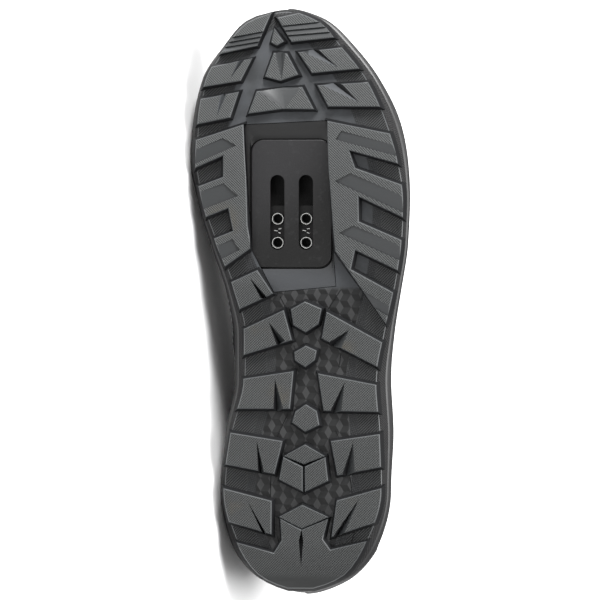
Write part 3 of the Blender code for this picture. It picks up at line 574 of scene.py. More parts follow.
# The faces are knurled: one set of fine ridges in the forefoot, two crossed sets behind it, and some dust.
knurl = Finish("rubber_face", (0.05, 0.05, 0.05), 0.62, Specular_IOR_Level=0.3)
x, y, z = knurl.place()
behind = 1 - knurl.step(y, 148.0, 152.0)
falling = knurl.wave((x - y) * 0.707, 0.9)
rising = knurl.wave((x + y) * 0.707, 0.9)
front = falling * 0.75 + rising * 0.25
back = rising * 0.7 + falling * 0.3
ridge = front * (1 - behind) + back * behind
# The knurl runs out towards the heel tip into smooth rubber of a darker grey: the smooth moulding, with painted
# shade on the heel's bevel.
knurl_reach = knurl.step(y, 5.0, 9.0)
ridge = ridge * knurl_reach + (1 - knurl_reach) * 0.3
cloud = knurl.noise(70)
color = knurl.mix(ridge, (0.001, 0.0012, 0.0015), (0.072, 0.076, 0.076))
DUST = [(22, 120, 14.0), (10, 96, 8.0), (30, 42, 12.0), (38, 180, 12.0), (-20, 118, 10.0), (-30, 50, 12.0)]
dust = 0.0
for dust_x, dust_y, size in DUST:
    far = ((x - dust_x) * (x - dust_x) + (y - dust_y) * (y - dust_y)).math("SQRT")
    dust = (1 - knurl.step(far, 2.0, size)) + dust
dust = dust * knurl.step(cloud, 0.42, 0.68) * 0.45
rear = 1 - knurl.step(y, 60.0, 230.0)
color = knurl.mix(rear * 0.25, color, (0.006, 0.006, 0.006))
knurl.set("Base Color", knurl.mix(dust, color, (0.05, 0.042, 0.028)))
knurl.set("Roughness", cloud * 0.25 + 0.5)
knurl.bump(ridge, 0.0003)

# The lugs' bevelled edges are painted paler, a painted highlight, and their walls near black, painted shade; the
# cuts are smooth. The forefoot's wide facets, at the lateral lugs and the big centre lug, are painted lighter, a
# painted highlight.
# Painted highlight: the bevels' finish is paler than the knurled faces.
edge_highlight_rubber = Finish("rubber_edge_highlight", (0.052, 0.055, 0.057), 0.42, Specular_IOR_Level=0.45)
# Painted shade: the walls' finish is near black, the same rubber in shade.
wall_shade_rubber = Finish("rubber_wall_shade", (0.008, 0.0083, 0.009), 0.6, Specular_IOR_Level=0.12)
cut_rubber = Finish("rubber_cut", (0.021, 0.0225, 0.0235), 0.42, Specular_IOR_Level=0.3)
x, y, z = cut_rubber.place()
# Painted highlight: the forefoot's facets over these lengths and across the lugs are painted lighter.
facet_highlight = cut_rubber.step(y, 227.0, 229.0) * (1 - cut_rubber.step(y, 263.0, 265.0))
facet_highlight = facet_highlight * (1 - cut_rubber.step(x, -3.2, -2.4) * (1 - cut_rubber.step(x, 20.0, 21.0)))
cut_rubber.set("Base Color", cut_rubber.mix(facet_highlight, (0.021, 0.0225, 0.0235), (0.055, 0.058, 0.062)))

# The valleys carry the mould's own pattern: fine slanting lines near the edge, stipple inside them, and in the
# waist and the heel a relief of tumbling blocks, whose faces are painted light, mid and dark as painted shading.
# The pattern follows the distance from the tread's two edges.
valley = Finish("rubber_valley", (0.03, 0.03, 0.03), 0.55, Specular_IOR_Level=0.2)
x, y, z = valley.place()
stops = []
for share in np.linspace(0, 1, 30):
    row = np.interp(share, fine_along, fine_rows)
    stops.append((float(share), (float(tread_edge(row, True)) * 15, -float(tread_edge(row, False)) * 15, 0)))
edges = valley.add("ShaderNodeValToRGB", {"stops": stops}, [y / (SHOE_LENGTH * 1000)])[0]
medial_edge, lateral_edge, _ = valley.add("ShaderNodeSeparateColor", None, [edges])
inset = (medial_edge * (1000 / 15) - x).math("MINIMUM", lateral_edge * (1000 / 15) + x)
band = 1 - valley.step(inset, 10.4, 11.2)
stippled = valley.step(inset, 10.4, 11.2) * (1 - valley.step(inset, 14.5, 15.5))
lines = valley.wave((x + y) * 0.707, 1.0)
dots = valley.wave(x + y * 0.3, 0.9) * valley.wave(y - x * 0.3, 0.9)
BLOCK = 3.7
u = x + valley.noise(9) * 0.8
candidates = []
for shift in (0.0, 1.0):
    ax = (u + shift * 1.5 * BLOCK).math("FLOORED_MODULO", 3 * BLOCK) - 1.5 * BLOCK
    ay = (y + shift * 0.866 * BLOCK).math("FLOORED_MODULO", 1.732 * BLOCK) - 0.866 * BLOCK
    candidates.append((ax, ay, ax * ax + ay * ay))
(ax, ay, far_a), (bx, by, far_b) = candidates
near = far_a < far_b
lx = bx + near * (ax - bx)
ly = by + near * (ay - by)
left = -lx
up = lx * 0.5 + ly * 0.866
down = lx * 0.5 - ly * 0.866
most = left.math("MAXIMUM", up).math("MAXIMUM", down) / BLOCK
is_left = (left > up) * (left > down)
is_up = (up > left) * (up > down)
blocks = (1 - valley.step(y, 146.0, 148.0)) * valley.step(inset, 14.5, 15.5)
height = (1 - most * 0.67) * blocks + lines * band * 0.3 + dots * stippled * 0.25
cloud = valley.noise(95, 4.0)
cloud = valley.step(cloud, 0.3, 0.72)
plain = valley.mix(cloud, (0.024, 0.0255, 0.0272), (0.042, 0.0448, 0.0488))
# Painted shading: each block's faces get a light, a mid and a dark grey, as if lit from one side.
shaded_block_faces = valley.mix(is_up, (0.004, 0.0041, 0.0042), (0.009, 0.0092, 0.0095))
block_painted_shading = valley.mix(is_left, shaded_block_faces, (0.031, 0.0314, 0.032))
block_painted_shading = valley.mix(cloud * 0.35, block_painted_shading, (0.014, 0.0142, 0.0145))
color = valley.mix(blocks, plain, block_painted_shading)
color = valley.mix(band, color, valley.mix(lines, (0.003, 0.003, 0.0032), (0.034, 0.0355, 0.036)))
color = valley.mix(stippled * 0.8, color, valley.mix(dots, (0.004, 0.004, 0.0042), (0.032, 0.0335, 0.034)))
valley.set("Base Color", color)
valley.set("Roughness", cloud * 0.3 + 0.38)
valley.bump(height, 0.0006)
tread_finishes = [knurl, edge_highlight_rubber, wall_shade_rubber, valley, cut_rubber]

lugs = bmesh.new()
cuts = bmesh.new()
for side, rows in SIDE_LUGS.items():
    for front_out, front_in, in_front, back_in, back_out, in_back in rows:
        front = [tread_place(front_in, side * in_front), tread_place(front_out, side)]
        back = [tread_place(back_in, side * in_back), tread_place(back_out, side)]
        add_lug(lugs, [front[1], front[0], back[0], back[1], *side_line(side, back_out, front_out)])
    comb = [tread_place(along, side * across) for along, across in RAILS[side]]
    for k, tooth in reversed(list(enumerate(TEETH[side]))):
        front_out, front_in, in_front, back_in, back_out, in_back = tooth[:6]
        if k < len(TEETH[side]) - 1:
            comb.append(tread_place(back_in, side * in_back))
        comb += [tread_place(back_out, side), *side_line(side, back_out, front_out)]
        comb.append(tread_place(front_out, side))
        if k:
            comb.append(tread_place(front_in, side * in_front))
        along_front, front_at, along_back, back_at = tooth[6:]
        lean = (back_out - back_in) / (1 - in_back)
        corners = [
            tread_place(along_front, side * front_at),
            tread_place(along_back, side * back_at),
            tread_place(along_back + lean * (1.04 - back_at), side * 1.04),
            tread_place(along_front + lean * (1.04 - front_at), side * 1.04),
        ]
        add_cut(cuts, corners, (0.0006, 0.0010, 0.0006, -0.0001))
    add_lug(lugs, comb)
for corners in CENTRE_LUGS:
    add_lug(lugs, [tread_place(*corner) for corner in corners])
heel_alongs = (0.07, 0.055, 0.04, 0.027, 0.017, 0.009, 0.003)
heel_round = [tread_place(along, LATERAL) for along in heel_alongs]
heel_round += [tread_place(along, MEDIAL) for along in heel_alongs[::-1]]
add_lug(lugs, [tread_place(*corner) for corner in HEEL_BLOCK] + heel_round)
for start, bottom, end, apex, depth in V_CUTS:
    add_v_cut(cuts, *(tread_place(*corner) for corner in (start, bottom, end, apex)), depth)
add_cut(cuts, [tread_place(*corner) for corner in SPINDLE], (0.0036, 0.003, 0.0002, 0.003), WALL)
RIBS = 3
for side in (MEDIAL, LATERAL):
    *_, back_in, back_out, in_back = SIDE_LUGS[side][0]
    for rib in range(RIBS):
        ahead = 0.0015 + 0.0088 * rib
        line = [(back_in, in_back - 0.2), (back_out, 1.1)]
        corners = [tread_place(along + ahead, side * across) for along, across in line]
        corners += [tread_place(along + ahead + 0.0085, side * across) for along, across in line[::-1]]
        add_cut(cuts, corners, (0.0001, 0.0001, 0.0011, 0.0011))

around = np.linspace(0, AROUND, 361)[:-1]
base = bmesh.new()
rings = []
for out, depth in ((-0.0004, LUG_HEIGHT), (0.0, LUG_HEIGHT + 0.0004), (0.0, LUG_HEIGHT + BASE_THICKNESS)):
    rings.append([(*point, depth) for point in outline(around, out)[0]])
stack(base, rings, (VALLEY, EDGE, WALL, WALL))
window = bmesh.new()
stack(window, [[(*point, z) for point in window_corners] for z in (-0.004, 0.012)], (WALL, WALL, WALL))
lines = bmesh.new()
for start, end in PANEL_LINES:
    ends = tread_place(*start), tread_place(*end)
    add_bar(lines, *ends, 0.00018, LUG_HEIGHT - 0.001, LUG_HEIGHT + 0.0004, (WALL,) * 3)
tread = carve(
    tool(base, tread_finishes),
    [
        (tool(lines, tread_finishes), "DIFFERENCE"),
        (tool(lugs, tread_finishes), "UNION"),
        (tool(cuts, tread_finishes), "DIFFERENCE"),
        (tool(window, tread_finishes), "DIFFERENCE"),
    ],
)
drape(tread, ground)
add_piece("outsole_tread", tread, tread_finishes, replaces=["outsole"], slot="tread_rubber")


# The cleat plate: the nylon bed that the cleat's teeth bite into, let into the window of the rubber. Its sunk
# bed has a ramp at each end and a thin groove round it, and the two slots that the cleat's bolts slide in.
PLATE_THICKNESS = 0.005
GAP = 0.0003
BED_CORNER = 0.0068
RAMP_FRONT = 0.012
RAMP_BACK = 0.015
SLOT_SPACING = 0.014
SLOT_WIDTH = 0.007
SLOT_LENGTH = 0.0366
SLOT_SHIFT = 0.0042
SURROUND, NYLON, GROOVE = range(3)


def rounded_rectangle(middle, width, length, corner, steps=10):
    """Plan corners of a rectangle with round corners."""
    points = []
    for turn, (side_x, side_y) in enumerate(((1, 1), (-1, 1), (-1, -1), (1, -1))):
        centre_x = middle[0] + side_x * (width / 2 - corner)
        centre_y = middle[1] + side_y * (length / 2 - corner)
        for angle in np.linspace(math.pi / 2 * turn, math.pi / 2 * (turn + 1), steps):
            points.append((centre_x + corner * math.cos(angle), centre_y + corner * math.sin(angle)))
    return points


def prism(corners, low, high, index, finishes):
    """A passing object for a Boolean: an upright prism."""
    bm = bmesh.new()
    stack(bm, [[(x, y, z) for x, y in corners] for z in (low, high)], (index,) * 3)
    return tool(bm, finishes)


def plate_top(y):
    return tread_root(y) + PLATE_THICKNESS


slot_middle = BED[1] - SLOT_SHIFT
surround = Finish("pocket_rubber", (0.05, 0.053, 0.057), 0.45, Specular_IOR_Level=0.3)
x, y, z = surround.place()
# Painted light and shade: the rubber round the bed is lighter at the heel-side ramp and near black beyond it.
painted_shade = surround.step(y - x * 0.1, 150.0, 166.0)
surround.set("Base Color", surround.mix(painted_shade, (0.030, 0.032, 0.035), (0.0035, 0.0035, 0.0037)))
surround.bump(surround.noise(300), 0.0001)
nylon = Finish("nylon_bed", (0.02, 0.02, 0.021), 0.42, Specular_IOR_Level=0.25)
x, y, z = nylon.place()
scuff = nylon.step(nylon.noise(420, 5.0), 0.56, 0.7)
# Painted reflection and shade: the bed is lighter towards the toe and the medial side, near black towards the heel
# and the lateral side.
painted_shade = nylon.step(y + x * 0.8, 168.0, 222.0)
color = nylon.mix(painted_shade, (0.0008, 0.0008, 0.0008), (0.0125, 0.0122, 0.0132))
nylon.set("Base Color", nylon.mix(scuff * 0.2, color, (0.025, 0.025, 0.026)))
nylon.set("Roughness", nylon.noise(160) * 0.2 + 0.34)
nylon.bump(nylon.noise(1500, 2.0), 0.00005)
groove = Finish("pocket_groove", (0.004, 0.004, 0.004), 0.7, Specular_IOR_Level=0.1)
plate_finishes = [surround, nylon, groove]

body = bmesh.new()
flat = moved(window_corners, -GAP)
ends = (LUG_HEIGHT, LUG_HEIGHT + PLATE_THICKNESS)
stack(body, [[(*point, z) for point in flat] for z in ends], (SURROUND,) * 3)
drape(body, ground)
bed_round = rounded_rectangle(BED[:2], BED_WIDTH, BED_LENGTH, BED_CORNER)
recess = bmesh.new()
rings = [[(x, y, BED[2] - LUG_HEIGHT) for x, y in bed_round], [(*point, BED[2]) for point in bed_round],
         [(*point, BED[2] + 0.0007) for point in bed_round]]
for k, (x, y) in enumerate(bed_round):
    rings[0][k] = (x, y + (RAMP_FRONT if y > BED[1] else -RAMP_BACK), BED[2] - LUG_HEIGHT)
stack(recess, rings, (SURROUND, SURROUND, GROOVE, GROOVE))
slab = bmesh.new()
rings = []
for margin, z in ((0.0010, BED[2]), (0.0006, BED[2] + 0.0003), (0.0006, BED[2] + 0.0012)):
    points = rounded_rectangle(BED[:2], BED_WIDTH - 2 * margin, BED_LENGTH - 2 * margin, BED_CORNER - margin)
    rings.append([(*point, z) for point in points])
stack(slab, rings, (NYLON,) * 4)
steps = [(tool(recess, plate_finishes), "DIFFERENCE"), (tool(slab, plate_finishes), "UNION")]
for side in (MEDIAL, LATERAL):
    middle = (BED[0] + side * SLOT_SPACING / 2, slot_middle)
    corners = rounded_rectangle(middle, SLOT_WIDTH, SLOT_LENGTH, SLOT_WIDTH / 2 - 1e-5)
    steps.append((prism(corners, 0.0, 0.02, GROOVE, plate_finishes), "DIFFERENCE"))
plate = carve(tool(body, plate_finishes), steps)
add_piece("cleat_bed", plate, plate_finishes, replaces=["cleat_plate"], slot="nylon")


# The cleat nut: the blackened steel plate behind the bed, free to slide along the slots. Four threaded barrels
# stand down into the slots, with bright worn rims, and small cast ridges lie between them.
NUT_THICKNESS = 0.0022
NUT_WIDTH = 0.0235
NUT_CORNER = 0.003
NUT_CLEARANCE = 0.0005
BARREL_DIAMETER = 0.0059
BARREL_REACH = 0.0018
BARREL_ROWS = 0.0117
THREAD_BORE = 0.0042
BLACK, BRIGHT, BORE = range(3)
black_steel = Finish("steel_black", (0.004, 0.004, 0.004), 0.5, Specular_IOR_Level=0.15)
bright_steel = Finish("steel_worn", (0.36, 0.36, 0.35), 0.3, 1.0)
bore_steel = Finish("steel_bore", (0.012, 0.012, 0.012), 0.5, 0.3)
nut_finishes = [black_steel, bright_steel, bore_steel]
nut_floor = float(plate_top(BED[1])) + NUT_CLEARANCE
nut_back = slot_middle - SLOT_LENGTH / 2 + SLOT_WIDTH / 2
nut_length = BARREL_ROWS + BARREL_DIAMETER + 2 * NUT_CLEARANCE + 2 * NUT_CORNER
nut_middle = (BED[0], nut_back + BARREL_ROWS / 2)
RIDGES = [
    ((-0.0016, 0.0011), (-0.0003, 0.0008)), ((0.0002, -0.0001), (0.0018, 0.0002)),
    ((-0.0014, -0.0012), (-0.0003, -0.0009)),
]


def disc(bm, middle, profile, indices, steps=40):
    """A closed round body from radius and height pairs."""
    rings = []
    for radius, z in profile:
        angles = np.linspace(0, 2 * math.pi, steps, endpoint=False)
        rings.append([(middle[0] + radius * math.cos(a), middle[1] + radius * math.sin(a), z) for a in angles])
    stack(bm, rings, indices)


barrels = bmesh.new()
bores = bmesh.new()
barrel_foot = BED[2] + BARREL_REACH
for side in (MEDIAL, LATERAL):
    for row in (0, 1):
        at = (BED[0] + side * SLOT_SPACING / 2, nut_back + row * BARREL_ROWS)
        radius = BARREL_DIAMETER / 2
        profile = [(radius - 0.0002, barrel_foot), (radius, barrel_foot + 0.0002)]
        profile.append((radius, nut_floor + NUT_THICKNESS / 2))
        disc(barrels, at, profile, (BRIGHT, BLACK, BLACK, BLACK))
        profile = [(THREAD_BORE / 2 + 0.0004, barrel_foot - 0.001), (THREAD_BORE / 2 + 0.0004, barrel_foot)]
        profile += [(THREAD_BORE / 2, barrel_foot + 0.0004), (THREAD_BORE / 2, nut_floor + 2 * NUT_THICKNESS)]
        disc(bores, at, profile, (BORE,) * 5)
    between = np.array((BED[0] + side * SLOT_SPACING / 2, nut_middle[1]))
    for start, end in RIDGES:
        add_bar(barrels, between + start, between + end, 0.00014, nut_floor - 0.0007, nut_floor + 0.001,
                (BRIGHT, BLACK, BLACK))
plate_points = rounded_rectangle(nut_middle, NUT_WIDTH, nut_length, NUT_CORNER, 8)
body = prism(plate_points, nut_floor, nut_floor + NUT_THICKNESS, BLACK, nut_finishes)
nut = carve(body, [(tool(barrels, nut_finishes), "UNION"), (tool(bores, nut_finishes), "DIFFERENCE")])
add_piece("cleat_nut_steel", nut, nut_finishes, body="cleat_nut", replaces=["cleat_nut"], slot="steel")


# The midsole: a moulded foam wall that flares out past the tread, with a proud band between two lines painted
# lighter, painted highlights on its steps, hollowed from below for the cleat plate and the nut. The rubber and the
# upper are stuck to it.
BALL_SEAT = 0.0160
HEEL_SEAT = 0.0245
TOE_SEAT_RISE = 0.0145
FOAM, LINE, BAND, INSIDE = range(4)
# height and reach as shares of its own, a step outwards in metres, and the finish above it
MIDSOLE_SIDE = [
    (0.00, 0.07, -0.0003, FOAM), (0.02, 0.10, 0.0, FOAM), (0.30, 0.62, 0.0, LINE), (0.325, 0.63, 0.0004, LINE),
    (0.35, 0.64, 0.0007, BAND), (0.61, 0.92, 0.0007, LINE), (0.635, 0.92, 0.0004, LINE), (0.66, 0.92, 0.0, FOAM),
    (0.82, 0.98, 0.0, FOAM), (0.90, 1.00, 0.0, FOAM), (0.96, 0.97, -0.0003, FOAM), (1.00, 0.90, -0.0008, FOAM),
]


def seat(y):
    """Height of the upper's lower edge, where it meets the midsole."""
    heel = (HEEL_SEAT - BALL_SEAT) * by_length("heel", y)
    return BALL_SEAT + heel + TOE_SEAT_RISE * by_length("spring", y)


foam = Finish("midsole_foam", (0.04, 0.04, 0.04), 0.65, Specular_IOR_Level=0.35)
x, y, z = foam.place()
slant = foam.wave(y + z * 1.2 + x * 0.3, 1.3)
cloud = foam.noise(120, 4.0)
color = foam.mix(slant * 0.5 + cloud * 0.5, (0.005, 0.005, 0.0055), (0.017, 0.0167, 0.0172))
wrapped = (1 - foam.step(y, 9.0, 11.0)) + foam.step(y, 274.0, 276.0)
foam.set("Base Color", foam.mix(wrapped, color, (0.016, 0.0165, 0.017)))
foam.bump(slant, 0.00025)
# Painted highlight: the steps beside the band are painted lighter than the foam.
highlight_line = Finish("midsole_line_highlight", (0.04, 0.04, 0.04), 0.45)
y = highlight_line.place()[1]
wrapped = (1 - highlight_line.step(y, 9.0, 11.0)) + highlight_line.step(y, 274.0, 276.0)
highlight_line.set("Base Color", highlight_line.mix(wrapped, (0.026, 0.026, 0.0265), (0.014, 0.0143, 0.0147)))
band_foam = Finish("midsole_band", (0.05, 0.049, 0.049), 0.5, Specular_IOR_Level=0.4)
color = band_foam.mix(band_foam.noise(150, 4.0), (0.007, 0.007, 0.0075), (0.018, 0.0177, 0.0182))
band_foam.set("Base Color", color)
band_foam.bump(band_foam.noise(900, 2.0), 0.0001)
inside = Finish("midsole_inside", (0.006, 0.006, 0.006), 0.8, Specular_IOR_Level=0.1)
midsole_finishes = [foam, highlight_line, band_foam, inside]
rings = []
for height, reach, step, _ in MIDSOLE_SIDE:
    points, _ = outline(around, reach * flare(around) + step)
    low = tread_root(points[:, 1]) + BASE_THICKNESS + GAP
    rings.append(np.column_stack((points, low + (seat(points[:, 1]) - GAP - low) * height)))
body = bmesh.new()
stack(body, rings, (FOAM, *(row[3] for row in MIDSOLE_SIDE[:-1]), INSIDE))
pocket = bmesh.new()
rings = [[(*point, z) for point in window_corners] for z in (0.0, LUG_HEIGHT + PLATE_THICKNESS + GAP)]
stack(pocket, rings, (INSIDE,) * 3)
drape(pocket, ground)
travel = SLOT_LENGTH - SLOT_WIDTH - BARREL_ROWS
middle = (BED[0], nut_back + (BARREL_ROWS + travel) / 2)
size = (NUT_WIDTH + 2 * NUT_CLEARANCE, nut_length + travel + 2 * NUT_CLEARANCE)
corners = rounded_rectangle(middle, *size, NUT_CORNER, 6)
chamber = prism(corners, BED[2], nut_floor + NUT_THICKNESS + NUT_CLEARANCE, INSIDE, midsole_finishes)
hollowed = [(tool(pocket, midsole_finishes), "DIFFERENCE"), (chamber, "DIFFERENCE")]
midsole = carve(tool(body, midsole_finishes), hollowed)
add_piece("midsole_wall", midsole, midsole_finishes, replaces=["midsole"], slot="midsole")


# The upper: leather-like synthetic and dark blue textile, lasted over the foot's form and turned in under it.
# Its face follows curves from the foot bed up to the collar, the throat or the ridge of the vamp; the table has
# a row for each of the sole's rows. Heights run from 0 at the foot bed to 1 at that upper end.
UPPER_WALL = 0.0022
SEAM_INSET = 0.002
MARGIN = 0.006
COLLAR_RISE = 0.061
INSTEP_RISE = 0.061
TOE_RISE = 0.0255
THROAT_TOP = 6
VAMP_POINT = 10
ROW_LENGTH = 0.078 * SHOE_LENGTH
UPPER = table(
    "edge middle half rise drop dip lean_medial lean_lateral low high",
    [
        (0.030, 0.00, 0.00, 1.00, 0.00, 80, 72, 72, 0.36, 0.34),
        (0.036, 0.00, 0.18, 1.00, 0.00, 80, 80, 80, 0.36, 0.34),
        (0.085, 0.01, 0.42, 0.95, 0.02, 84, 90, 90, 0.36, 0.34),
        (0.160, 0.02, 0.58, 0.84, 0.04, 88, 95, 94, 0.36, 0.34),
        (0.245, 0.02, 0.61, 0.77, 0.05, 88, 90, 94, 0.36, 0.34),
        (0.325, 0.02, 0.55, 0.83, 0.04, 80, 68, 96, 0.38, 0.34),
        (0.395, 0.03, 0.39, 1.00, 0.00, 58, 60, 97, 0.38, 0.34),
        (0.470, 0.04, 0.30, 0.965, 0.00, 46, 64, 94, 0.36, 0.36),
        (0.540, 0.06, 0.27, 0.862, 0.00, 38, 74, 90, 0.34, 0.38),
        (0.615, 0.09, 0.22, 0.735, 0.00, 28, 84, 88, 0.32, 0.40),
        (0.665, 0.12, 0.00, 1.530, 0.00, 0, 88, 88, 0.31, 0.42),
        (0.725, 0.15, 0.00, 1.390, 0.00, 0, 88, 88, 0.31, 0.42),
        (0.790, 0.18, 0.00, 1.220, 0.00, 0, 85, 85, 0.32, 0.42),
        (0.845, 0.18, 0.00, 1.090, 0.00, 0, 78, 80, 0.34, 0.42),
        (0.885, 0.17, 0.00, 1.000, 0.00, 0, 74, 76, 0.36, 0.42),
        (0.915, 0.16, 0.00, 0.900, 0.00, 0, 72, 72, 0.38, 0.42),
    ],
)
ZONE_RISE = np.repeat(
    (COLLAR_RISE, INSTEP_RISE, TOE_RISE), (THROAT_TOP, VAMP_POINT - THROAT_TOP, TIP + 1 - VAMP_POINT)
)
# creases as paths of columns and heights, then half their width and their depth in metres
CREASES = [
    ([(10.35, 0.40), (10.70, 1.0), (19.30, 1.0), (19.75, 0.42)], 0.0030, 0.0010),
    ([(10.95, 0.52), (11.25, 1.0), (18.75, 1.0), (18.95, 0.50)], 0.0026, 0.0008),
    ([(11.70, 0.62), (11.80, 1.0), (18.20, 1.0), (18.35, 0.66)], 0.0022, 0.0005),
    ([(9.60, 0.26), (10.15, 0.52)], 0.0030, 0.0007),
    ([(20.60, 0.24), (19.95, 0.55)], 0.0030, 0.0007),
    ([(2.60, 0.86), (3.70, 0.68), (4.80, 0.60)], 0.0036, 0.0008),
    ([(27.50, 0.84), (26.40, 0.66), (25.40, 0.62)], 0.0036, 0.0008),
    ([(4.10, 0.90), (4.90, 0.80), (5.60, 0.78)], 0.0028, 0.0006),
    ([(25.80, 0.90), (25.20, 0.79), (24.50, 0.76)], 0.0028, 0.0006),
    ([(5.20, 0.30), (6.20, 0.36), (7.10, 0.30)], 0.0040, 0.0005),
]


def bezier(points, t):
    t = np.asarray(t)[..., None]
    a, b, c, d = points
    return a * (1 - t) ** 3 + 3 * b * t * (1 - t) ** 2 + 3 * c * t**2 * (1 - t) + d * t**3


def upper_rows(column):
    """The foot end and the top end of the upper's rows, with the curve's direction at each."""
    medial, row = folded(column)
    base, normal = outline(column, flare(column) - SEAM_INSET)
    foot = np.concatenate((base, seat(base[..., 1:])), axis=-1)
    half = by_row(UPPER["half"], row, UPPER["half"][1])
    x = TREAD_WIDTH / 2 * (by_row(UPPER["middle"], row) + np.where(medial, half, -half))
    y = SHOE_LENGTH * by_row(UPPER["edge"], row)
    drop = np.where(medial, 0.0, COLLAR_RISE * by_row(UPPER["drop"], row))
    top = np.stack((x, y, seat(y) + by_row(ZONE_RISE * UPPER["rise"], row) - drop), axis=-1)
    lean = np.where(medial, by_row(UPPER["lean_medial"], row), by_row(UPPER["lean_lateral"], row))
    lean = np.radians(lean)[..., None]
    dip = np.radians(by_row(UPPER["dip"], row))[..., None]
    up = np.concatenate((normal * np.cos(lean), np.sin(lean)), axis=-1)
    down = np.concatenate((normal * np.cos(dip), -np.sin(dip)), axis=-1)
    return foot, top, up, down, row


def wall_face(column, height):
    """Points of the upper's outer face."""
    foot, top, up, down, row = upper_rows(column)
    chord = np.linalg.norm(top - foot, axis=-1)
    low = (chord * by_row(UPPER["low"], row))[..., None]
    high = (chord * by_row(UPPER["high"], row))[..., None]
    return bezier((foot, foot + low * up, top + high * down, top), height)


def over_throat(row, across):
    """The same face carried on over the throat: 0 to 1 up the medial side, 1 to 2 over, 2 to 3 down."""
    _, start, _, from_start, _ = upper_rows(row)
    _, end, _, from_end, _ = upper_rows(AROUND - row)
    reach = 0.38 * np.linalg.norm(end - start, axis=-1, keepdims=True)
    over = bezier((start, start - reach * from_start, end - reach * from_end, end), np.clip(across - 1, 0, 1))
    near = wall_face(row, np.clip(across, 0, 1))
    far = wall_face(AROUND - row, np.clip(3 - across, 0, 1))
    return np.where((across <= 1)[..., None], near, np.where((across >= 2)[..., None], far, over))


def faced(surface, u, v, v_range=(0.0, 3.0)):
    """Points of a surface and the normals there."""
    step = 0.01
    low, high = np.maximum(v - step, v_range[0]), np.minimum(v + step, v_range[1])
    normal = np.cross(surface(u + step, v) - surface(u - step, v), surface(u, high) - surface(u, low))
    return surface(u, v), normal / np.linalg.norm(normal, axis=-1, keepdims=True)


def path_on(corners, pitch=0.0008):
    """Points and normals along a path of columns and heights on the upper's face, at an even pitch."""
    places = [corners[0]]
    for start, end in zip(corners, corners[1:]):
        if abs(end[0] - start[0]) < 6 or start[1] < 1:
            places += [tuple(place) for place in np.linspace(start, end, 60)[1:]]
        else:
            places.append(end)
    u, v = np.array(places).T
    points, normals = faced(wall_face, u, v, (0.0, 1.0))
    far = np.concatenate(([0], np.cumsum(np.linalg.norm(np.diff(points, axis=0), axis=1))))
    at = np.arange(0, far[-1], pitch)
    return [np.array([np.interp(at, far, values[:, k]) for k in range(3)]).T for values in (points, normals)]


def creased(points):
    """How far soft creases move points of the upper outwards: a trough with a low ridge at each side."""
    shift = np.zeros(len(points))
    for corners, half, depth in CREASES:
        line, _ = path_on(corners, 0.002)
        gaps = np.linalg.norm(points[:, None] - line[None], axis=-1)
        along = gaps.argmin(axis=1) / (len(line) - 1)
        gap = gaps.min(axis=1)
        fade = np.sqrt(np.sin(np.pi * np.clip(along, 0, 1)))
        trough = np.exp(-((gap / half) ** 2))
        ridge = np.exp(-(((gap - 2 * half) / half) ** 2))
        shift += depth * fade * (0.4 * ridge - trough)
    return shift


# Zones of the upper's face, from the row and the height that the mesh carries: a smooth rand over the sole, a
# smooth facing along the throat, a soft collar, and between them textile with vents over the toes.
leather = Finish("upper_face", (0.02, 0.022, 0.03), 0.6, Specular_IOR_Level=0.4)
row = leather.attribute("row")
height = leather.attribute("height")
x, y, z = leather.place()
rand = 1 - leather.step(height, 0.165, 0.172)
turned = leather.step(row, 9.3, 11.2) * 0.24
past_collar = leather.step(row, 5.45, 5.5)
facing = leather.step(height - turned, 0.79, 0.797) * past_collar * (1 - leather.step(row, 11.0, 11.05))
collar = leather.step(height, 0.84, 0.85) * (1 - past_collar)
smooth_zone = rand.math("MAXIMUM", facing)
cells = [(row * 7.2).math("FRACT") - 0.5, (height * 26).math("FRACT") - 0.5]
hole = 1 - leather.step((cells[0] * cells[0] + cells[1] * cells[1]).math("SQRT"), 0.2, 0.3)
vents = leather.step(row, 9.9, 9.92) * (1 - leather.step(row, 12.2, 12.22)) * leather.step(height, 0.5, 0.51)
hole = hole * vents * (1 - smooth_zone)
weave = leather.wave(x + y + z * 0.4, 1.7) * leather.wave(y - z - x * 0.6, 1.7)
seams = 0.0
for value, place in ((height, 0.169), (height - turned, 0.795), (height, 0.845)):
    near = 1 - leather.step((value - place).math("ABSOLUTE"), 0.002, 0.012)
    seams = near + seams
seams = seams.math("MINIMUM", 1.0) * (1 - collar)
cloud = leather.noise(60, 4.0)
textile = leather.mix(weave, (0.004, 0.005, 0.010), (0.012, 0.014, 0.023))
plain = leather.mix(cloud, (0.009, 0.009, 0.010), (0.019, 0.019, 0.021))
color = leather.mix(smooth_zone, textile, plain)
color = leather.mix(collar, color, (0.009, 0.0095, 0.011))
color = leather.mix((hole + seams * 0.6).math("MINIMUM", 1.0), color, (0.004, 0.004, 0.005))
grime = leather.step(leather.noise(22, 5.0), 0.5, 0.8) * (1 - leather.step(height, 0.05, 0.4)) * 0.35
leather.set("Base Color", leather.mix(grime, color, (0.04, 0.034, 0.026)))
leather.set("Roughness", 0.8 - smooth_zone * 0.33 + cloud * 0.1)
grain = leather.noise(1100, 3.0)
leather.bump((weave * (1 - smooth_zone) + grain * smooth_zone * 0.5) * (1 - hole) - seams * 0.8, 0.00035)
lining = Finish("lining", (0.02, 0.02, 0.021), 0.95, Specular_IOR_Level=0.15)
lining.bump(lining.noise(1400, 2.0), 0.0002)
binding = Finish("upper_edge", (0.014, 0.014, 0.016), 0.8, Specular_IOR_Level=0.3)

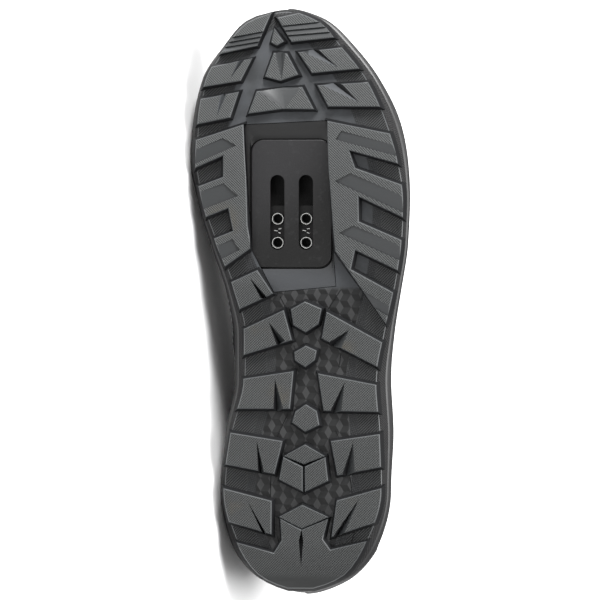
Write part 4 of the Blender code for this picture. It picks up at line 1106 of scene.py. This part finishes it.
heights = np.linspace(0, 1, 57)
body = bmesh.new()
row_layer = body.verts.layers.float.new("row")
height_layer = body.verts.layers.float.new("height")
u, v = np.meshgrid(around, heights, indexing="ij")
points, normals = faced(wall_face, u, v, (0.0, 1.0))
shift = creased(points.reshape(-1, 3)).reshape(u.shape) * np.minimum(1, 8 * v)
points = points + normals * shift[..., None]
_, rows_at = folded(around)
grid = []
for k, column in enumerate(around):
    ring = []
    for inwards in (MARGIN, 0.7 * MARGIN, MARGIN / 3, MARGIN / 8):
        (at_x, at_y), _ = outline(column, flare(column) - SEAM_INSET - inwards)
        ring.append(body.verts.new((at_x, at_y, seat(at_y))))
    ring += [body.verts.new(point) for point in points[k]]
    for vert, height_at in zip(ring, [0.0] * 4 + list(heights)):
        vert[row_layer] = rows_at[k]
        vert[height_layer] = height_at
    grid.append(ring)
for near, far in zip(grid, grid[1:] + grid[:1]):
    for k in range(len(near) - 1):
        body.faces.new((near[k], far[k], far[k + 1], near[k + 1]))
bmesh.ops.remove_doubles(body, verts=body.verts, dist=1e-5)
upper_finishes = [leather, lining, binding]
shell = tool(body, upper_finishes)
shell.data.shade_smooth()
wall = shell.modifiers.new("wall", "SOLIDIFY")
wall.thickness = UPPER_WALL
wall.offset = -1
wall.use_even_offset = True
wall.use_quality_normals = True
wall.material_offset = 1
wall.material_offset_rim = 2
add_piece("upper_shell", carve(shell, []), upper_finishes, replaces=["upper"], slot="upper", sharp=50)


# The insole: a textile-covered foam sock. It is narrow where it fills the upper's turned-in edge and wider
# over it, with a raised rim.
INSOLE_THICKNESS = 0.0045
INSOLE_RIM = 0.0015
INSOLE_PLAY = 0.0014
sock = Finish("sock_textile", (0.024, 0.024, 0.026), 0.9, Specular_IOR_Level=0.2)
x, y, z = sock.place()
knit = sock.wave(x + y * 0.5, 2.2) * sock.wave(y - x * 0.5, 2.2)
sock.set("Base Color", sock.mix(knit, (0.016, 0.016, 0.018), (0.036, 0.036, 0.038)))
sock.bump(knit, 0.0003)
rings = []
inner = SEAM_INSET + MARGIN + INSOLE_PLAY
rim = SEAM_INSET + UPPER_WALL + INSOLE_PLAY
low = UPPER_WALL + GAP
top = INSOLE_THICKNESS + INSOLE_RIM
profile = [
    (inner, 0.0), (inner, low), (rim, low), (rim, top - 0.0004), (rim + 0.0003, top - 0.0001),
    (rim + 0.0008, top), (rim + 0.0018, top - 0.0002), (rim + 0.0045, top - 0.0008),
    (rim + 0.0075, top - 0.0014), (rim + 0.009, INSOLE_THICKNESS),
]
for inwards, height in profile:
    points, _ = outline(around, flare(around) - inwards)
    rings.append(np.column_stack((points, seat(points[:, 1]) + height)))
body = bmesh.new()
stack(body, rings, (0,) * (len(profile) + 1))
add_piece("insole_sock", body, [sock], replaces=["insole"], slot="lining")


def spread(start, end, count, border):
    """Even places from start to end, and more of them within the border at both ends."""
    near = border * np.array((0.0, 0.08, 0.3, 0.62))
    return np.concatenate((start + near, np.linspace(start + border, end - border, count), end - near[::-1]))


def add_slab(
    name, surface, places, size, out, thickness, finishes, v_range=(0.0, 3.0), both=False, relief=None, **facts
):
    """A closed piece over a surface, between two heights from it, with rounded edges.

    It carries its places on the surface as the attributes u_mm and v_mm. The size is the metres to a unit of each.
    """
    u, v = np.meshgrid(*places, indexing="ij")
    points, normals = faced(surface, u, v, v_range)
    ends = []
    for values, place, unit in ((u, places[0], size[0]), (v, places[1], size[1])):
        ends.append(np.minimum(values - place[0], place[-1] - values) * unit)
    radius = thickness * (0.5 if both else 0.6)
    near = np.clip(np.minimum(*ends) / radius, 0, 1)
    drop = radius * (1 - np.sqrt(np.maximum(0, 1 - (1 - near) ** 2)))
    raised = relief(u, v, np.minimum(*ends)) if relief else 0.0
    outer = points + normals * (out + thickness - drop + raised)[..., None]
    inner = points + normals * (out + drop * both)[..., None]
    body = bmesh.new()
    layers = [body.verts.layers.float.new(key) for key in ("u_mm", "v_mm")]
    grids = []
    for face in (outer, inner):
        grid = [[body.verts.new(point) for point in line] for line in face]
        for i, line in enumerate(grid):
            for j, vert in enumerate(line):
                vert[layers[0]] = (u[i, j] - places[0][0]) * size[0] * 1000
                vert[layers[1]] = (v[i, j] - places[1][0]) * size[1] * 1000
        grids.append(grid)
    top, under = grids
    for i in range(len(top) - 1):
        for j in range(len(top[0]) - 1):
            for grid in grids:
                body.faces.new((grid[i][j], grid[i + 1][j], grid[i + 1][j + 1], grid[i][j + 1]))
    for i in range(len(top) - 1):
        for j in (0, -1):
            body.faces.new((top[i][j], top[i + 1][j], under[i + 1][j], under[i][j]))
    for j in range(len(top[0]) - 1):
        for i in (0, -1):
            body.faces.new((top[i][j], top[i][j + 1], under[i][j + 1], under[i][j]))
    bmesh.ops.recalc_face_normals(body, faces=body.faces)
    return add_piece(name, body, finishes, **facts)


# The toe cap and the heel counter: moulded black synthetic, welded on the upper's own face, with a row of low
# ribs along their upper edge.
CURVED_GAP = 0.0005
OVERLAY = 0.0014
overlay = Finish("overlay_face", (0.02, 0.02, 0.022), 0.5, Specular_IOR_Level=0.4)
pebble = overlay.noise(700, 3.0)
overlay.set("Base Color", overlay.mix(overlay.noise(70, 4.0), (0.010, 0.010, 0.011), (0.022, 0.022, 0.0235)))
overlay.set("Roughness", overlay.noise(140) * 0.25 + 0.38)
overlay.bump(pebble, 0.00016)


def ribbed(u, v, edge):
    """Three low ribs that follow the piece's border."""
    ribs = sum(np.exp(-(((edge - at) / 0.0007) ** 2)) for at in (0.0035, 0.0062, 0.0089))
    return 0.0003 * ribs


places = (spread(TIP - 2.6, TIP + 2.6, 110, 0.08), spread(0.04, 0.50, 34, 0.02))
add_slab("toe_cap_shell", wall_face, places, (0.021, 0.052), CURVED_GAP, OVERLAY, [overlay], (0.0, 1.0),
         relief=ribbed, replaces=["toe_cap"], slot="overlay")
places = (spread(-2.0, 2.0, 90, 0.08), spread(0.04, 0.62, 46, 0.02))
add_slab("heel_counter_shell", wall_face, places, (0.03, 0.066), CURVED_GAP, OVERLAY, [overlay], (0.0, 1.0),
         relief=ribbed, replaces=["heel_counter"], slot="overlay")


# The tongue: foam between two textiles, quilted across, stitched in at the vamp and free at the top.
TONGUE_THICKNESS = 0.004
padding = Finish("tongue_textile", (0.018, 0.019, 0.024), 0.85, Specular_IOR_Level=0.25)
u, v = padding.attribute("u_mm"), padding.attribute("v_mm")
knit = padding.wave(u + v, 1.5) * padding.wave(u - v, 1.5)
padding.set("Base Color", padding.mix(knit, (0.010, 0.011, 0.016), (0.028, 0.030, 0.038)))
padding.bump(knit, 0.0003)


def quilted(u, v, edge):
    """Soft channels across the tongue."""
    channel = np.exp(-((((u * 1.6) % 1) - 0.5) / 0.12) ** 2) * np.clip(edge / 0.004 - 0.5, 0, 1)
    return -0.0007 * channel


places = (spread(5.3, VAMP_POINT - 0.3, 110, 0.09), spread(0.86, 2.14, 46, 0.05))
under_wall = -UPPER_WALL - CURVED_GAP - TONGUE_THICKNESS
tongue = add_slab("tongue_pad", over_throat, places, (0.022, 0.03), under_wall, TONGUE_THICKNESS, [padding],
                  both=True, relief=quilted, replaces=["tongue"], slot="lining")


# The three straps: woven webbing with loop pile, sewn on the medial side, carried over the tongue and closed on
# the lateral side, where the end stays free.
STRAPS = {"upper": 6.45, "middle": 7.60, "lower": 8.72}
STRAP_WIDTH = 0.021
STRAP_THICKNESS = 0.002
STRAP_FROM = 0.42
STRAP_TO = 0.40
webbing = Finish("webbing", (0.02, 0.02, 0.023), 0.8, Specular_IOR_Level=0.3)
u, v = webbing.attribute("u_mm"), webbing.attribute("v_mm")
rib = webbing.wave(v, 1.4)
rows_of = webbing.wave(u + v * 0.5, 2.1)
border = 1 - webbing.step(u.math("MINIMUM", 21.0 - u), 1.7, 2.0)
pile = webbing.noise(900, 4.0)
texture = rib * rows_of * (1 - border) + border * 0.6 + pile * 0.2
webbing.set("Base Color", webbing.mix(texture, (0.010, 0.010, 0.013), (0.034, 0.034, 0.038)))
webbing.bump(texture, 0.0003)
half = STRAP_WIDTH / 2 / ROW_LENGTH
for name, row in STRAPS.items():
    places = (spread(row - half, row + half, 22, 0.08), spread(STRAP_FROM, 3 - STRAP_TO, 120, 0.03))
    add_slab("strap_" + name + "_web", over_throat, places, (ROW_LENGTH, 0.05), CURVED_GAP, STRAP_THICKNESS,
             [webbing], replaces=["strap_" + name], slot="webbing")


# The stitches: pale grey polyester thread in two rows along the throat's facing and the rand, and in a box where
# each strap is sewn down.
thread = Finish("thread", (0.09, 0.09, 0.095), 0.6, Specular_IOR_Level=0.3)


def add_stitches(bm, points, normals, pitch=0.0032, length=0.0022, half=0.00032, proud=0.0003):
    """Low lozenges along a line of points, one for each stitch."""
    far = np.concatenate(([0], np.cumsum(np.linalg.norm(np.diff(points, axis=0), axis=1))))
    starts = np.arange(pitch / 2, far[-1] - length, pitch)
    for start in starts:
        ends = []
        for at in (start, start + length):
            ends.append(np.array([np.interp(at, far, points[:, k]) for k in range(3)]))
        normal = np.array([np.interp(start + length / 2, far, normals[:, k]) for k in range(3)])
        normal /= np.linalg.norm(normal)
        along = (ends[1] - ends[0]) / np.linalg.norm(ends[1] - ends[0])
        side = np.cross(normal, along)
        foot = [end + side * half * way - normal * 0.0003 for end in ends for way in (1, -1)]
        crown = [end + along * tip * 0.0004 + side * half * 0.5 * way + normal * proud
                 for end, tip in zip(ends, (1, -1)) for way in (1, -1)]
        verts = [bm.verts.new(point) for point in foot + crown]
        for face in ((0, 1, 3, 2), (4, 6, 7, 5), (0, 2, 6, 4), (1, 5, 7, 3), (0, 4, 5, 1), (2, 3, 7, 6)):
            bm.faces.new([verts[k] for k in face])


sewn = bmesh.new()
for height in (0.182, 0.205):
    for start, end in ((2.15, 12.2), (17.8, 27.85)):
        add_stitches(sewn, *path_on([(start, height), (end, height)]))
for height in (0.808, 0.83):
    front = [(5.7, height), (9.3, height), (9.8, height + 0.04), (10.25, height + 0.12), (10.6, 1.0)]
    add_stitches(sewn, *path_on(front))
    add_stitches(sewn, *path_on([(AROUND - column, at) for column, at in front]))
for row in STRAPS.values():
    reach = half * 0.8
    box = [(row - reach, 0.45), (row + reach, 0.45), (row - reach, 0.60), (row + reach, 0.60)]
    for first, last in ((0, 1), (2, 3), (0, 2), (1, 3)):
        points, normals = path_on([box[first], box[last]])
        add_stitches(sewn, points + normals * (CURVED_GAP + STRAP_THICKNESS), normals)
bmesh.ops.recalc_face_normals(sewn, faces=sewn.faces)
add_piece("stitches", sewn, [thread])


# The floor and the studio: a plain pale floor, a soft light beyond the toe, a large one overhead and a weak one
# low in front. The faces towards the toe catch the light, and those towards the heel fall dark.
floor_mesh = bpy.data.meshes.new("floor")
floor_mesh.from_pydata([(-4, -4, 0), (4, -4, 0), (4, 4, 0), (-4, 4, 0)], [], [(0, 1, 2, 3)])
floor = bpy.data.objects.new("floor", floor_mesh)
bpy.context.scene.collection.objects.link(floor)
floor_mesh.materials.append(Finish("floor", (0.92, 0.92, 0.92), 0.8).made)


def add_light(name, place, size, power, towards=(0, 0, 0.05)):
    light = bpy.data.lights.new(name, "AREA")
    light.energy = power
    light.size = size
    made = bpy.data.objects.new(name, light)
    made.location = place
    made.rotation_euler = (Vector(towards) - Vector(place)).to_track_quat("-Z", "Y").to_euler()
    bpy.context.scene.collection.objects.link(made)


add_light("toe_light", (-1.9, -0.9, 0.9), 0.7, 85)
add_light("roof_light", (0.1, -0.5, 2.6), 2.4, 112)
add_light("floor_light", (0.3, -2.6, 0.15), 0.9, 8)
world = bpy.data.worlds.new("studio")
world.use_nodes = True
world.node_tree.nodes["Background"].inputs[0].default_value = (1, 1, 1, 1)
world.node_tree.nodes["Background"].inputs[1].default_value = 0.47
bpy.context.scene.world = world
bpy.context.scene.view_settings.view_transform = "Standard"
